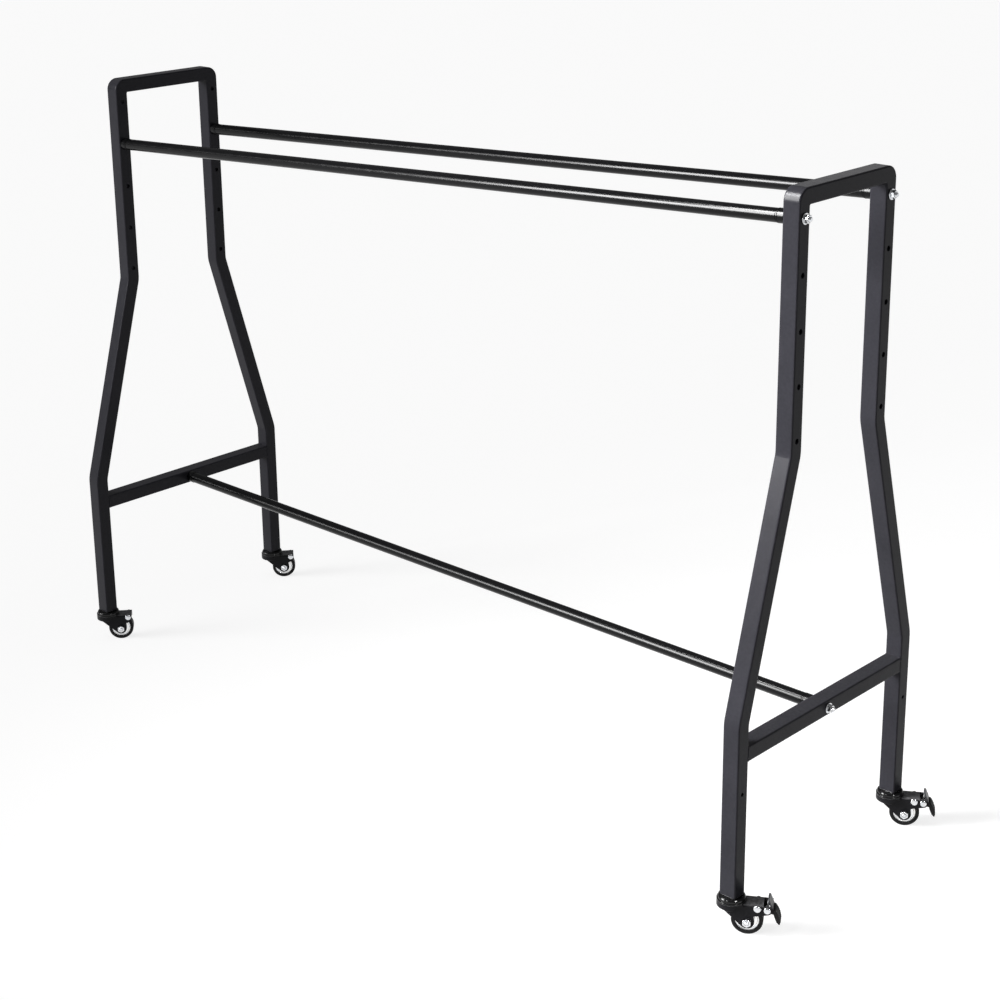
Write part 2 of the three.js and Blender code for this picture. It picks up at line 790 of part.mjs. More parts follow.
// The brake pedal about its pin: a bent plate with a pad, two cheeks and a shoe that faces the tyre.
function brakePedal() {
  const half = pedalWidth / 2;
  const cheekInner = half - pedalPlate;
  const cheeks = [[-half, -cheekInner], [cheekInner, half]].flatMap(([from, to]) => [
    sidePlate(pedalCheek(), from, to),
    sidePlate(shoeArm(0, brakeShoeReach), from, to),
  ]);
  const reach = pedalTipReach + pedalPadLength;
  const tongue = extruded(pedalTongue(pedalTipDrop + pedalPadLength), 2 * reach).translate(0, 0, -reach);
  const body = joined(
    sidePlate(pedalBand(), -half, half).intersect(solidOf(tongue.applyMatrix4(acrossAndUp))),
    sidePlate(pedalPad(), -half, half),
    sidePlate(shoeArm(brakeShoeInset, brakeShoeReach), -half, half),
    ...cheeks,
  );
  return cut(body, solidOf(barAlongY(brakePinDiameter / 2 + fitGap, -pedalWidth, pedalWidth, holeSteps)));
}

// Everything of a caster that turns with its fork, and the stem in the leg.
function caster(place, heading, braked) {
  const wheel = groupOf(
    `wheel_${place}`,
    piece(`tyre_${place}`, tyre(), tyreRubber),
    piece(`hub_${place}`, hub(), brightPlate),
  );
  wheel.position.set(casterTrail, 0, wheelRadius);
  const axle = groupOf(
    "",
    piece(`axle_bolt_${place}`, axleBolt(), zincPlate),
    piece(`axle_nut_${place}`, axleNut(), zincPlate),
  );
  axle.position.copy(wheel.position);
  const rivetPin = crossPin(rivetDiameter, rivetHeadDiameter, rivetHeadThickness);
  const rivet = piece(`fork_rivet_${place}`, rivetPin, zincPlate);
  rivet.position.set(rivetReach, 0, rivetHeight);
  const whole = groupOf(
    `swivel_${place}`,
    piece(`caster_stem_${place}`, casterStem(), forkPaint),
    piece(`bearing_ring_${place}`, bearingRing(), zincPlate),
    piece(`fork_${place}`, fork(braked), forkPaint),
    wheel,
    axle,
    rivet,
  );
  if (braked) {
    const brakePin = crossPin(brakePinDiameter, brakePinHeadDiameter, brakePinHeadThickness);
    const pedal = groupOf(
      `pedal_${place}`,
      piece(`brake_pedal_${place}`, brakePedal(), forkPaint),
      piece(`brake_pin_${place}`, brakePin, zincPlate),
    );
    pedal.position.set(brakePinReach, 0, brakePinHeight);
    whole.add(pedal);
  }
  whole.rotation.z = heading;
  return whole;
}

// An end frame with its cross tube, the two plugs and the two casters.
function endFrame(label, side, heading, braked) {
  const cross = piece(`${label}_cross_tube`, crossTube(), framePaint);
  cross.position.z = crossTubeHeight;
  const whole = groupOf(
    `${label}_frame`,
    piece(`${label}_hoop`, frameTube(side), framePaint),
    cross,
  );
  for (const [place, across] of [["front", -lowerLegSpacing / 2], ["rear", lowerLegSpacing / 2]]) {
    const plug = piece(`leg_plug_${place}_${label}`, legPlug(), blackPlastic);
    const turning = caster(`${place}_${label}`, heading, braked);
    plug.position.y = across;
    turning.position.y = across;
    whole.add(plug, turning);
  }
  whole.position.x = (side * frameSpacing) / 2;
  return whole;
}

const cart = groupOf(
  "ball_cart",
  endFrame("left", -1, leftCasterHeading, false),
  endFrame("right", 1, rightCasterHeading, true),
  rail("front_rail", -upperLegSpacing / 2, leftRailHeight, rightRailHeight),
  rail("rear_rail", upperLegSpacing / 2, leftRailHeight, rightRailHeight),
  rail("lower_rail", 0, crossTubeHeight, crossTubeHeight),
);

// The origin is on the floor under the middle of the whole cart.
const extent = new THREE.Box3().setFromObject(cart, true);
const middle = extent.getCenter(new THREE.Vector3());
cart.position.set(-middle.x, -middle.y, -extent.min.z);

const part = groupOf("part", cart);
export default part;
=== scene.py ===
import sys

import json
import logging
import math
from collections.abc import Iterable, Sequence
from dataclasses import dataclass, field
from enum import Enum
from functools import cache

import bmesh
import bpy
from mathutils import Matrix, Vector

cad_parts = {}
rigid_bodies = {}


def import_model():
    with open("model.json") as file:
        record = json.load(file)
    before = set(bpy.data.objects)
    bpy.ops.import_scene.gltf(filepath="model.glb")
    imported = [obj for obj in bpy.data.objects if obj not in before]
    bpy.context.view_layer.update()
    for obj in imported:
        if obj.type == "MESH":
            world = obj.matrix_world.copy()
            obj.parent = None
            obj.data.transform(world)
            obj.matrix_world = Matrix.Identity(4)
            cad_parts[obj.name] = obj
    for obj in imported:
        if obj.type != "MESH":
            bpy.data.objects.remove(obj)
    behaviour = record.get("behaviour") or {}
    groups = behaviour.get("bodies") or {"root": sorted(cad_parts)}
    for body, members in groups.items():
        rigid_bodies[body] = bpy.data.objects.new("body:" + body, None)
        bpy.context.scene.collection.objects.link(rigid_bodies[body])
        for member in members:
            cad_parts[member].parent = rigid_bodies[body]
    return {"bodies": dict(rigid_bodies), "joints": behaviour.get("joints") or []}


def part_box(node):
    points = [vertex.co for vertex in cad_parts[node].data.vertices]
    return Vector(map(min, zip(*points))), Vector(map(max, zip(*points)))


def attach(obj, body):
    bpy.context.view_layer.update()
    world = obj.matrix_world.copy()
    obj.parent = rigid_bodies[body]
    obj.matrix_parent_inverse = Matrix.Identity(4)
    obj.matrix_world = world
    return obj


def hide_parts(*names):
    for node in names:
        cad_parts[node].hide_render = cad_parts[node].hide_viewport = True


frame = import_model()

# All lengths in this script are in mm. A mesh is turned into metres when its object is made.
MM = 0.001
FULL_TURN = 2 * math.pi
QUARTER_TURN = math.pi / 2
SQUARE = ((-1, -1), (1, -1), (1, 1), (-1, 1))
# Points of a mesh that lie closer than this are one point.
MERGE_DISTANCE = 0.0005
# The angles in degrees from which an edge counts as sharp.
CREASE = 38.0
HEX_CREASE = 30.0
BEVEL_ANGLE = 45.0
SHEET_BEVEL_ANGLE = 50.0
# The attributes that the meshes carry for the finishes and the trees.
# How much a point lies on an outer edge: edge wear on most parts, a painted highlight on the pedal.
EDGE_MASK = "edge_wear"
SPIN = "spin_radius"
HEADING = "heading"

log = logging.getLogger("cart")

Colour = tuple[float, float, float]
Shade = tuple[float, float, float, float]
Corner = tuple[float, float, float]
Socket = bpy.types.NodeSocket


class Direction(Enum):
    """One of two opposite sides, as a factor for the sizes."""

    @property
    def label(self) -> str:
        """The word that this side has in the names of the nodes."""
        return self.name.lower()


class Side(Direction):
    """The two end frames, by their direction along the cart."""

    LEFT = -1
    RIGHT = 1


class Reach(Direction):
    """The two long sides, by their direction across the cart."""

    FRONT = -1
    REAR = 1


class Slot(Enum):
    """The material slots of the record."""

    FRAME = "frame_paint"
    RAIL = "rail_paint"
    FORK = "fork_paint"
    PEDAL = "pedal_steel"
    ZINC = "zinc"
    HUB = "hub"
    TYRE = "tyre"
    PLUG = "plug_plastic"


# Shapes

@dataclass
class Skin:
    """Points in mm and the faces between them."""

    points: list[Vector] = field(default_factory=list)
    faces: list[tuple[int, ...]] = field(default_factory=list)

    def placed(self, place: Matrix) -> "Skin":
        """Gives a copy that is moved by a matrix in mm."""
        return Skin([place @ point for point in self.points], list(self.faces))

    def plus(self, *others: "Skin") -> "Skin":
        """Joins this skin and others.

        Args:
            others: the skins to be added.

        Returns:
            The joined skin. The parts stay apart in it.
        """
        whole = Skin(list(self.points), list(self.faces))
        for other in others:
            start = len(whole.points)
            whole.points += other.points
            whole.faces += [tuple(start + i for i in face) for face in other.faces]
        return whole


def loft(rings: Sequence[Sequence[Vector]], looped: bool = False, capped: bool = False) -> Skin:
    """Joins closed rings of equal length one after another.

    Args:
        rings: the rings, each a closed row of points.
        looped: whether the last ring joins the first.
        capped: whether the first and last rings are closed with a face each.

    Returns:
        The skin over all the rings.
    """
    count = len(rings[0])
    skin = Skin([Vector(point) for ring in rings for point in ring])
    spans = len(rings) if looped else len(rings) - 1
    for i in range(spans):
        near = i * count
        far = (i + 1) % len(rings) * count
        for j in range(count):
            k = (j + 1) % count
            skin.faces.append((near + j, near + k, far + k, far + j))
    if capped:
        last = (len(rings) - 1) * count
        skin.faces.append(tuple(reversed(range(count))))
        skin.faces.append(tuple(range(last, last + count)))
    return skin


def softened(
    corners: Sequence[Corner], closed: bool = True, steps: int = 6, support: float = 0.0
) -> list[Vector]:
    """Rounds the corners of an outline.

    Args:
        corners: x, y and radius of each corner.
        closed: whether the last corner joins the first. The ends of an open outline stay sharp.
        steps: the faces in each rounded corner.
        support: how far before and after a rounded corner one more point lies, or none for zero.

    Returns:
        The points of the outline.
    """
    spots = [Vector(corner[:2]) for corner in corners]
    last = len(spots) - 1
    points: list[Vector] = []
    for i, here in enumerate(spots):
        radius = corners[i][2]
        if radius <= 0 or (not closed and i in (0, last)):
            points.append(here.copy())
            continue
        back = spots[i - 1] - here
        ahead = spots[0 if i == last else i + 1] - here
        half = back.angle(ahead) / 2
        reach = min(radius / math.tan(half), back.length / 2, ahead.length / 2)
        back.normalize()
        ahead.normalize()
        middle = here + (back + ahead).normalized() * (reach / math.cos(half))
        start = here + back * reach - middle
        end = here + ahead * reach - middle
        turn = math.atan2(start.x * end.y - start.y * end.x, start.dot(end))
        if support:
            points.append(middle + start + back * support)
        for k in range(steps + 1):
            points.append(middle + Matrix.Rotation(turn * k / steps, 2) @ start)
        if support:
            points.append(middle + end + ahead * support)
    return points


def rectangle(
    width: float, height: float, radius: float, steps: int = 6, support: float = 0.0
) -> list[Vector]:
    """Gives a rounded rectangle about the origin.

    Args:
        width: its size in x.
        height: its size in y.
        radius: the radius of its corners.
        steps: the faces in each corner.
        support: how far from the rounding one more point lies on each side.

    Returns:
        The points of the outline.
    """
    across, up = width / 2, height / 2
    return softened([(a * across, b * up, radius) for a, b in SQUARE], True, steps, support)


def touch(source: Vector, centre: Vector, radius: float, turn: int) -> Vector:
    """Finds where a straight edge from a point touches a circle.

    Args:
        source: the point that the edge starts from.
        centre: the middle of the circle.
        radius: the radius of the circle.
        turn: +1 or -1 for the two sides of the circle.

    Returns:
        The place on the circle.
    """
    away = source - centre
    angle = math.atan2(away.y, away.x) + turn * math.acos(radius / away.length)
    return centre + Vector((math.cos(angle), math.sin(angle))) * radius


def swept(centre: Vector, start: Vector, end: Vector, steps: int) -> list[Vector]:
    """Gives the points of an arc that runs anticlockwise.

    Args:
        centre: the middle of the arc.
        start: its first point.
        end: its last point.
        steps: the straight pieces in it.

    Returns:
        The points, with both ends.
    """
    first, final = start - centre, end - centre
    turn = (math.atan2(final.y, final.x) - math.atan2(first.y, first.x)) % FULL_TURN
    return [centre + Matrix.Rotation(turn * i / steps, 2) @ first for i in range(steps + 1)]


def circle(steps: int) -> list[float]:
    """Gives the angles of evenly spaced directions, once round."""
    return [FULL_TURN * i / steps for i in range(steps)]


def quarter(steps: int) -> list[float]:
    """Gives the angles of evenly spaced directions over a quarter turn, with both ends."""
    return [QUARTER_TURN * i / steps for i in range(steps + 1)]


def turned(profile: Iterable[Sequence[float]], steps: int, closed: bool = False) -> Skin:
    """Turns a profile about the Y axis.

    Args:
        profile: pairs of radius and place along the axis.
        steps: the faces round the axis.
        closed: whether the profile's last point joins its first.

    Returns:
        The turned skin.
    """
    rings = [
        [Vector((spot[0] * math.cos(a), spot[1], spot[0] * math.sin(a))) for a in circle(steps)]
        for spot in profile
    ]
    return loft(rings, looped=closed)


def turned_pair(side: Sequence[Corner], steps: int) -> Skin:
    """Turns a ring whose two faces are alike.

    Args:
        side: radius, place along the axis and rounding of each corner of one half.
        steps: the faces round the axis.

    Returns:
        The closed ring about the Y axis.
    """
    both = [*side, *((radius, -y, soft) for radius, y, soft in reversed(side))]
    return turned(softened(both, steps=4), steps, closed=True)


def plate(outline: Sequence[Vector], low: float, high: float) -> Skin:
    """Makes a plate from a side view in x and z, between two places in y."""
    rings = [[Vector((spot.x, y, spot.y)) for spot in outline] for y in (low, high)]
    return loft(rings, capped=True)


def along_x() -> Matrix:
    """Turns a shape made about the Y axis so that it lies along X."""
    return Matrix.Rotation(-QUARTER_TURN, 4, "Z")


def along_z() -> Matrix:
    """Turns a shape made about the Y axis so that it stands along Z."""
    return Matrix.Rotation(QUARTER_TURN, 4, "X")


def pointed(place: Vector, way: Vector) -> Matrix:
    """Moves a shape made about the Y axis to a place and points it in a direction."""
    return Matrix.Translation(place) @ way.to_track_quat("Y", "Z").to_matrix().to_4x4()


@dataclass(frozen=True)
class Hexagon:
    """A hexagon along Y with turned corners, as on nuts and bolt heads."""

    across_flats: float
    low: float
    high: float
    bore: float = 0.0
    steps: int = 72
    cone_steps: int = 5
    cone_angle: float = math.radians(30)
    face_share: float = 0.95
    mouth: float = 0.4

    def radius_at(self, angle: float, inset: float) -> float:
        """Gives the outer radius.

        Args:
            angle: the direction round the axis.
            inset: the distance from the nearer end face.

        Returns:
            The smaller of the hexagon and the turned cone.
        """
        sixth = FULL_TURN / 6
        off = (angle + sixth / 2) % sixth - sixth / 2
        flat = self.across_flats / 2
        cone = flat * self.face_share + inset / math.tan(self.cone_angle)
        return min(flat / math.cos(off), cone)

    def ring(self, y: float, radii: Iterable[float]) -> list[Vector]:
        """Gives a ring of points about the axis, one for each radius."""
        spots = zip(radii, circle(self.steps))
        return [Vector((radius * math.cos(a), y, radius * math.sin(a))) for radius, a in spots]

    def skin(self) -> Skin:
        """Makes the hexagon.

        Returns:
            The closed skin, with a countersunk bore where there is one.
        """
        flat = self.across_flats / 2
        corner = flat / math.cos(FULL_TURN / 12)
        deepest = (corner - flat * self.face_share) * math.tan(self.cone_angle)
        insets = [deepest * i / self.cone_steps for i in range(self.cone_steps + 1)]
        spots = [(self.low + inset, inset) for inset in insets]
        spots += [(self.high - inset, inset) for inset in reversed(insets)]
        angles = circle(self.steps)
        rings = [self.ring(y, [self.radius_at(a, inset) for a in angles]) for y, inset in spots]
        middle = [0.0] * self.steps
        if not self.bore:
            return loft([self.ring(self.low, middle), *rings, self.ring(self.high, middle)])
        wide, narrow = [self.bore + self.mouth] * self.steps, [self.bore] * self.steps
        rings += [self.ring(self.high, wide), self.ring(self.high - self.mouth, narrow)]
        rings += [self.ring(self.low + self.mouth, narrow), self.ring(self.low, wide)]
        return loft(rings, looped=True)


@dataclass(frozen=True)
class Thread:
    """A threaded rod along Y."""

    diameter: float
    low: float
    high: float
    pitch: float = 1.0
    depth: float = 0.45
    chamfer: float = 0.7
    steps: int = 24
    rows: int = 6

    def skin(self) -> Skin:
        """Makes the rod with a helical thread and chamfered ends.

        Returns:
            The closed skin.
        """
        outer = self.diameter / 2
        count = round((self.high - self.low) / self.pitch * self.rows)
        rings = []
        for i in range(count + 1):
            y = self.low + (self.high - self.low) * i / count
            limit = outer - self.chamfer + min(y - self.low, self.high - y)
            ring = []
            for j in range(self.steps):
                share = j / self.steps
                phase = (y / self.pitch - share) % 1
                crest = outer - self.depth * abs(2 * phase - 1)
                radius = min(crest, limit)
                angle = FULL_TURN * share
                ring.append(Vector((radius * math.cos(angle), y, radius * math.sin(angle))))
            rings.append(ring)
        return loft(rings, capped=True)


# Node trees

class Graph:
    """Adds nodes to a tree and links their sockets."""

    def __init__(self, tree: bpy.types.NodeTree) -> None:
        """Keeps the tree that the nodes go into."""
        self.tree = tree

    def add(self, kind: str, inputs: dict | None = None, **settings: object) -> bpy.types.Node:
        """Adds one node.

        Args:
            kind: the node's type.
            inputs: a value or an output socket for each input, by name or number.
            settings: the node's own settings.

        Returns:
            The new node.
        """
        node = self.tree.nodes.new(kind)
        for name, value in settings.items():
            setattr(node, name, value)
        for key, value in (inputs or {}).items():
            if isinstance(value, Socket):
                self.tree.links.new(value, node.inputs[key])
            else:
                node.inputs[key].default_value = value
        return node

    def out(self, kind: str, inputs: dict | None = None, **settings: object) -> Socket:
        """Adds one node and gives its first output."""
        return self.add(kind, inputs, **settings).outputs[0]

    def math(self, operation: str, *values: object) -> Socket:
        """Adds a Math node of either kind of tree and gives its output."""
        return self.out("ShaderNodeMath", dict(enumerate(values)), operation=operation)


class GeometryTree(Graph):
    """A Geometry Nodes tree with named inputs."""

    def __init__(self, name: str, **sockets: str) -> None:
        """Makes the tree.

        Args:
            name: its name.
            sockets: the kind of each input after the geometry, by name.
        """
        super().__init__(bpy.data.node_groups.new(name, "GeometryNodeTree"))
        face = self.tree.interface
        face.new_socket(name="Geometry", in_out="INPUT", socket_type="NodeSocketGeometry")
        for label, kind in sockets.items():
            face.new_socket(name=label, in_out="INPUT", socket_type=f"NodeSocket{kind}")
        face.new_socket(name="Finish", in_out="INPUT", socket_type="NodeSocketMaterial")
        face.new_socket(name="Geometry", in_out="OUTPUT", socket_type="NodeSocketGeometry")
        self.given = self.add("NodeGroupInput").outputs

    def close(self, result: Socket) -> None:
        """Ends the tree in real geometry with its finish.

        Args:
            result: the geometry, with or without instances.
        """
        real = self.out("GeometryNodeRealizeInstances", {0: result})
        finished = {"Geometry": real, "Material": self.given["Finish"]}
        self.add("NodeGroupOutput", {0: self.out("GeometryNodeSetMaterial", finished)})

    def shape(self, name: str) -> Socket:
        """Gives the geometry of the object that comes in under a name."""
        return self.add("GeometryNodeObjectInfo", {"Object": self.given[name]}).outputs["Geometry"]

    def on_points(self, points: Socket, shape: Socket, **inputs: Socket) -> Socket:
        """Sets a shape on every point, with a Rotation or a Scale where they are given."""
        inputs = {"Points": points, "Instance": shape, **inputs}
        return self.out("GeometryNodeInstanceOnPoints", inputs)

    def chance(self, low: float, high: float) -> Socket:
        """Gives every point a number by chance, from the tree's own Seed."""
        inputs = {2: low, 3: high, "Seed": self.given["Seed"]}
        return self.add("FunctionNodeRandomValue", inputs, data_type="FLOAT").outputs["Value"]

    def drop(self, size: Socket, segments: int, rings: int) -> Socket:
        """Makes a small smooth sphere that is to be repeated.

        Args:
            size: its radius.
            segments: its faces round the axis.
            rings: its faces from pole to pole.

        Returns:
            The sphere.
        """
        sizes = {"Segments": segments, "Rings": rings, "Radius": size}
        return self.out("GeometryNodeSetShadeSmooth", {0: self.out("GeometryNodeMeshUVSphere", sizes)})

    def run(self, host: bpy.types.Object, **values: object) -> None:
        """Runs the tree on an object and leaves a plain mesh.

        Args:
            host: the object that carries the modifier.
            values: the inputs by name.
        """
        modifier = host.modifiers.new("build", "NODES")
        modifier.node_group = self.tree
        for item in self.tree.interface.items_tree:
            if item.in_out == "INPUT" and item.name in values:
                modifier[item.identifier] = values[item.name]
        baked(host)


@cache
def scatter_tree() -> GeometryTree:
    """Sets a shape on every point, turned by the point's heading and by chance about its own X axis.

    Returns:
        The tree. Spread is the widest turn by chance.
    """
    tree = GeometryTree("scatter", Shape="Object", Spread="Float", Seed="Int")
    heading = tree.out("GeometryNodeInputNamedAttribute", {"Name": HEADING}, data_type="FLOAT")
    facing = tree.out("ShaderNodeCombineXYZ", {"Z": heading})
    placed = tree.on_points(tree.given["Geometry"], tree.shape("Shape"), Rotation=facing)
    roll = tree.math("MULTIPLY", tree.chance(0.0, 1.0), tree.given["Spread"])
    rolled = tree.out("ShaderNodeCombineXYZ", {"X": roll})
    turns = {"Instances": placed, "Rotation": rolled, "Local Space": True}
    tree.close(tree.out("GeometryNodeRotateInstances", turns))
    return tree


@cache
def hole_row_tree() -> GeometryTree:
    """Cuts the same row of holes into two uprights.

    Returns:
        The tree. Along, Across and Top place the row, and Spacing is the distance of the uprights.
    """
    tree = GeometryTree(
        "hole_row", Drill="Object", Count="Int", Pitch="Float", Along="Float",
        Across="Float", Spacing="Float", Top="Float",
    )
    given = tree.given
    step = tree.out("ShaderNodeCombineXYZ", {"Z": tree.math("MULTIPLY", given["Pitch"], -1.0)})
    half = tree.math("MULTIPLY", given["Spacing"], 0.5)
    drill = tree.shape("Drill")
    cut = tree.add("GeometryNodeMeshBoolean", {"Mesh 1": given["Geometry"]}, operation="DIFFERENCE")
    for operation in ("SUBTRACT", "ADD"):
        across = tree.math(operation, given["Across"], half)
        start = tree.out("ShaderNodeCombineXYZ", {"X": given["Along"], "Y": across, "Z": given["Top"]})
        places = {"Count": given["Count"], "Start Location": start, "Offset": step}
        row = tree.on_points(tree.out("GeometryNodeMeshLine", places), drill)
        drills = tree.out("GeometryNodeRealizeInstances", {0: row})
        tree.tree.links.new(drills, cut.inputs["Mesh 2"])
    tree.close(cut.outputs[0])
    return tree


@cache
def weld_tree() -> GeometryTree:
    """Lays a rippled bead round the end of a square tube at every point.

    Returns:
        The tree. Pitch is the distance of the ripples and Bead their size.
    """
    tree = GeometryTree(
        "weld", Width="Float", Height="Float", Corner="Float", Pitch="Float", Bead="Float",
        Seed="Int",
    )
    given = tree.given
    sizes = {"Width": given["Width"], "Height": given["Height"]}
    path = tree.out("GeometryNodeCurvePrimitiveQuadrilateral", sizes)
    corners = {"Curve": path, "Radius": given["Corner"], "Count": 4}
    rounded = tree.out("GeometryNodeFilletCurve", corners, mode="POLY")
    spacing = {"Curve": rounded, "Length": given["Pitch"]}
    spaced = tree.out("GeometryNodeResampleCurve", spacing, mode="LENGTH")
    upright = tree.out("GeometryNodeTransform", {"Geometry": spaced, "Rotation": (QUARTER_TURN, 0.0, 0.0)})
    bead = tree.drop(given["Bead"], segments=8, rings=6)
    beads = tree.on_points(upright, bead, Scale=tree.chance(low=0.85, high=1.1))
    tree.close(tree.on_points(given["Geometry"], beads))
    return tree


@cache
def bearing_tree() -> GeometryTree:
    """Lays a ring of bearing beads round every point.

    Returns:
        The tree. Ring is the radius of the ring and Bead that of one bead.
    """
    tree = GeometryTree("bearing", Ring="Float", Bead="Float", Count="Int")
    given = tree.given
    ring = tree.out("GeometryNodeMeshCircle", {"Vertices": given["Count"], "Radius": given["Ring"]})
    beads = tree.on_points(ring, tree.drop(given["Bead"], segments=12, rings=8))
    tree.close(tree.on_points(given["Geometry"], beads))
    return tree


@cache
def rib_tree() -> GeometryTree:
    """Spaces ribs evenly along a path and keeps the path's own shape out of the result.

    Returns:
        The tree. Shape is one rib and Count their number.
    """
    tree = GeometryTree("ribs", Shape="Object", Count="Int")
    path = tree.out("GeometryNodeMeshToCurve", {"Mesh": tree.given["Geometry"]})
    spacing = {"Curve": path, "Count": tree.given["Count"]}
    spaced = tree.out("GeometryNodeResampleCurve", spacing, mode="COUNT")
    tree.close(tree.on_points(spaced, tree.shape("Shape")))
    return tree


# Finishes

class Canvas(Graph):
    """A material's nodes, with the object's own coordinates and what all finishes use."""

    def __init__(self, tree: bpy.types.NodeTree) -> None:
        """Adds the coordinates."""
        super().__init__(tree)
        self.spots = self.add("ShaderNodeTexCoord").outputs["Object"]

    def noise(self, scale: float, detail: float = 3.0, spots: Socket | None = None) -> Socket:
        """Adds a noise on the object's or on other coordinates and gives its value."""
        inputs = {"Vector": spots or self.spots, "Scale": scale, "Detail": detail}
        return self.add("ShaderNodeTexNoise", inputs).outputs["Fac"]

    def ranged(
        self, value: Socket, low: float, high: float, start: float = 0.3, end: float = 0.7
    ) -> Socket:
        """Stretches a value that runs from start to end, so that it runs from low to high."""
        limits = {0: value, 1: start, 2: end, 3: low, 4: high}
        return self.out("ShaderNodeMapRange", limits)

    def blended(self, share: object, first: object, second: object, way: str = "MIX") -> Socket:
        """Mixes two colours by a share and gives the result."""
        colours = {0: share, 6: first, 7: second}
        return self.add("ShaderNodeMix", colours, data_type="RGBA", blend_type=way).outputs[2]

    def bumped(self, height: Socket, depth: float, **under: Socket) -> Socket:
        """Adds a bump with its depth in mm, over another one that is given as Normal."""
        inputs = {"Strength": 1.0, "Distance": depth * MM, "Height": height, **under}
        return self.out("ShaderNodeBump", inputs)


@dataclass(frozen=True)
class Finish:
    """A material with a mottled colour and a grain. The kinds below add their own marks."""

    name: str
    colour: Colour
    roughness: float
    metallic: float = 0.0
    specular: float = 0.5
    mottle: float = 0.12
    mottle_scale: float = 14.0
    fine_ratio: float = 17.0
    fine_share: float = 0.4
    sheen_ratio: float = 6.0
    sheen_low: float = 0.88
    sheen_high: float = 1.14
    grain_size: float = 1.2
    grain_depth: float = 0.02

    def material(self) -> bpy.types.Material:
        """Gives the material and makes it on its first use.

        Returns:
            The material, with the finish's own colour, roughness and relief maps.
        """
        known = bpy.data.materials.get(self.name)
        if known:
            return known
        made = bpy.data.materials.new(self.name)
        made.use_nodes = True
        made.diffuse_color = (*self.colour, 1.0)
        canvas = Canvas(made.node_tree)
        shader = made.node_tree.nodes["Principled BSDF"]
        shader.inputs["Metallic"].default_value = self.metallic
        shader.inputs["Specular IOR Level"].default_value = self.specular
        for name, value in (
            ("Base Color", self.marked(canvas, self.mottled(canvas))),
            ("Roughness", self.sheen_map(canvas)),
            ("Normal", self.relief(canvas)),
        ):
            made.node_tree.links.new(value, shader.inputs[name])
        return made

    def tinted(self, gain: float) -> Shade:
        """Gives the finish's colour, lighter or darker."""
        return (*(min(1.0, part * gain) for part in self.colour), 1.0)

    def mottled(self, canvas: Canvas) -> Socket:
        """Gives the colour with slow changes and finer clouds in it.

        Args:
            canvas: the material's nodes.

        Returns:
            The uneven colour.
        """
        slow = canvas.noise(self.mottle_scale)
        fine = canvas.noise(self.mottle_scale * self.fine_ratio, detail=4.0)
        share = canvas.math(
            "ADD", canvas.math("MULTIPLY", slow, 1 - self.fine_share),
            canvas.math("MULTIPLY", fine, self.fine_share),
        )
        share = canvas.ranged(share, 0.0, 1.0, start=0.35, end=0.65)
        return canvas.blended(share, self.tinted(1 - self.mottle), self.tinted(1 + self.mottle))

    def marked(self, canvas: Canvas, colour: Socket) -> Socket:
        """Adds the marks that one kind of finish has. The plain kind has none."""
        return colour

    def sheen_map(self, canvas: Canvas) -> Socket:
        """Gives the roughness, a little uneven.

        Args:
            canvas: the material's nodes.

        Returns:
            The roughness.
        """
        cloud = canvas.noise(self.mottle_scale * self.sheen_ratio, detail=5.0)
        low, high = self.roughness * self.sheen_low, min(1.0, self.roughness * self.sheen_high)
        return canvas.ranged(cloud, low, high)

    def relief(self, canvas: Canvas) -> Socket:
        """Gives the bumped normal of the grain."""
        grain = canvas.noise(1 / (self.grain_size * MM), detail=2.0)
        return canvas.bumped(grain, self.grain_depth)


@dataclass(frozen=True)
class PowderCoat(Finish):
    """Baked powder paint: orange peel, lighter faces that look up and lighter edges. Fine dust and a thinner
    coat on edges on most parts; painted light on the fork's top faces and a painted highlight along the
    pedal's edges.
    """

    # Lighter edges: a thinner coat on most parts; a large gain, as on the pedal, paints a highlight.
    edge_gain: float = 1.6
    edge_share: float = 0.5
    wear_scale: float = 90.0
    # Lighter faces that look up: fine dust on most parts; a large share, as on the fork, paints light on the
    # top faces.
    dust: float = 0.05
    dust_scale: float = 260.0
    dust_colour: Shade = (0.40, 0.395, 0.41, 1.0)

    def marked(self, canvas: Canvas, colour: Socket) -> Socket:
        """Lightens the edges and the faces that look up.

        Args:
            canvas: the material's nodes.
            colour: the colour so far.

        Returns:
            The colour with lighter edges and top faces: wear and dust, with painted light on the fork's top
            and a painted highlight on the pedal's edges.
        """
        # Lighter edges: wear on most parts, a painted highlight on the pedal.
        edge = canvas.add("ShaderNodeAttribute", attribute_name=EDGE_MASK).outputs["Fac"]
        patches = canvas.ranged(canvas.noise(self.wear_scale, detail=4.0), 0.3, 1.0)
        share = canvas.math("MULTIPLY", canvas.math("MULTIPLY", edge, patches), self.edge_share)
        edge_tinted = canvas.blended(share, colour, self.tinted(self.edge_gain))
        # Lighter faces that look up: dust on most parts, painted light on the fork's top.
        normal = canvas.add("ShaderNodeNewGeometry").outputs["Normal"]
        height = canvas.add("ShaderNodeSeparateXYZ", {0: normal}).outputs["Z"]
        upward = canvas.ranged(height, 0.0, self.dust, start=0.5, end=1.0)
        top_share = canvas.math("MULTIPLY", upward, canvas.noise(self.dust_scale, detail=5.0))
        return canvas.blended(top_share, edge_tinted, self.dust_colour)


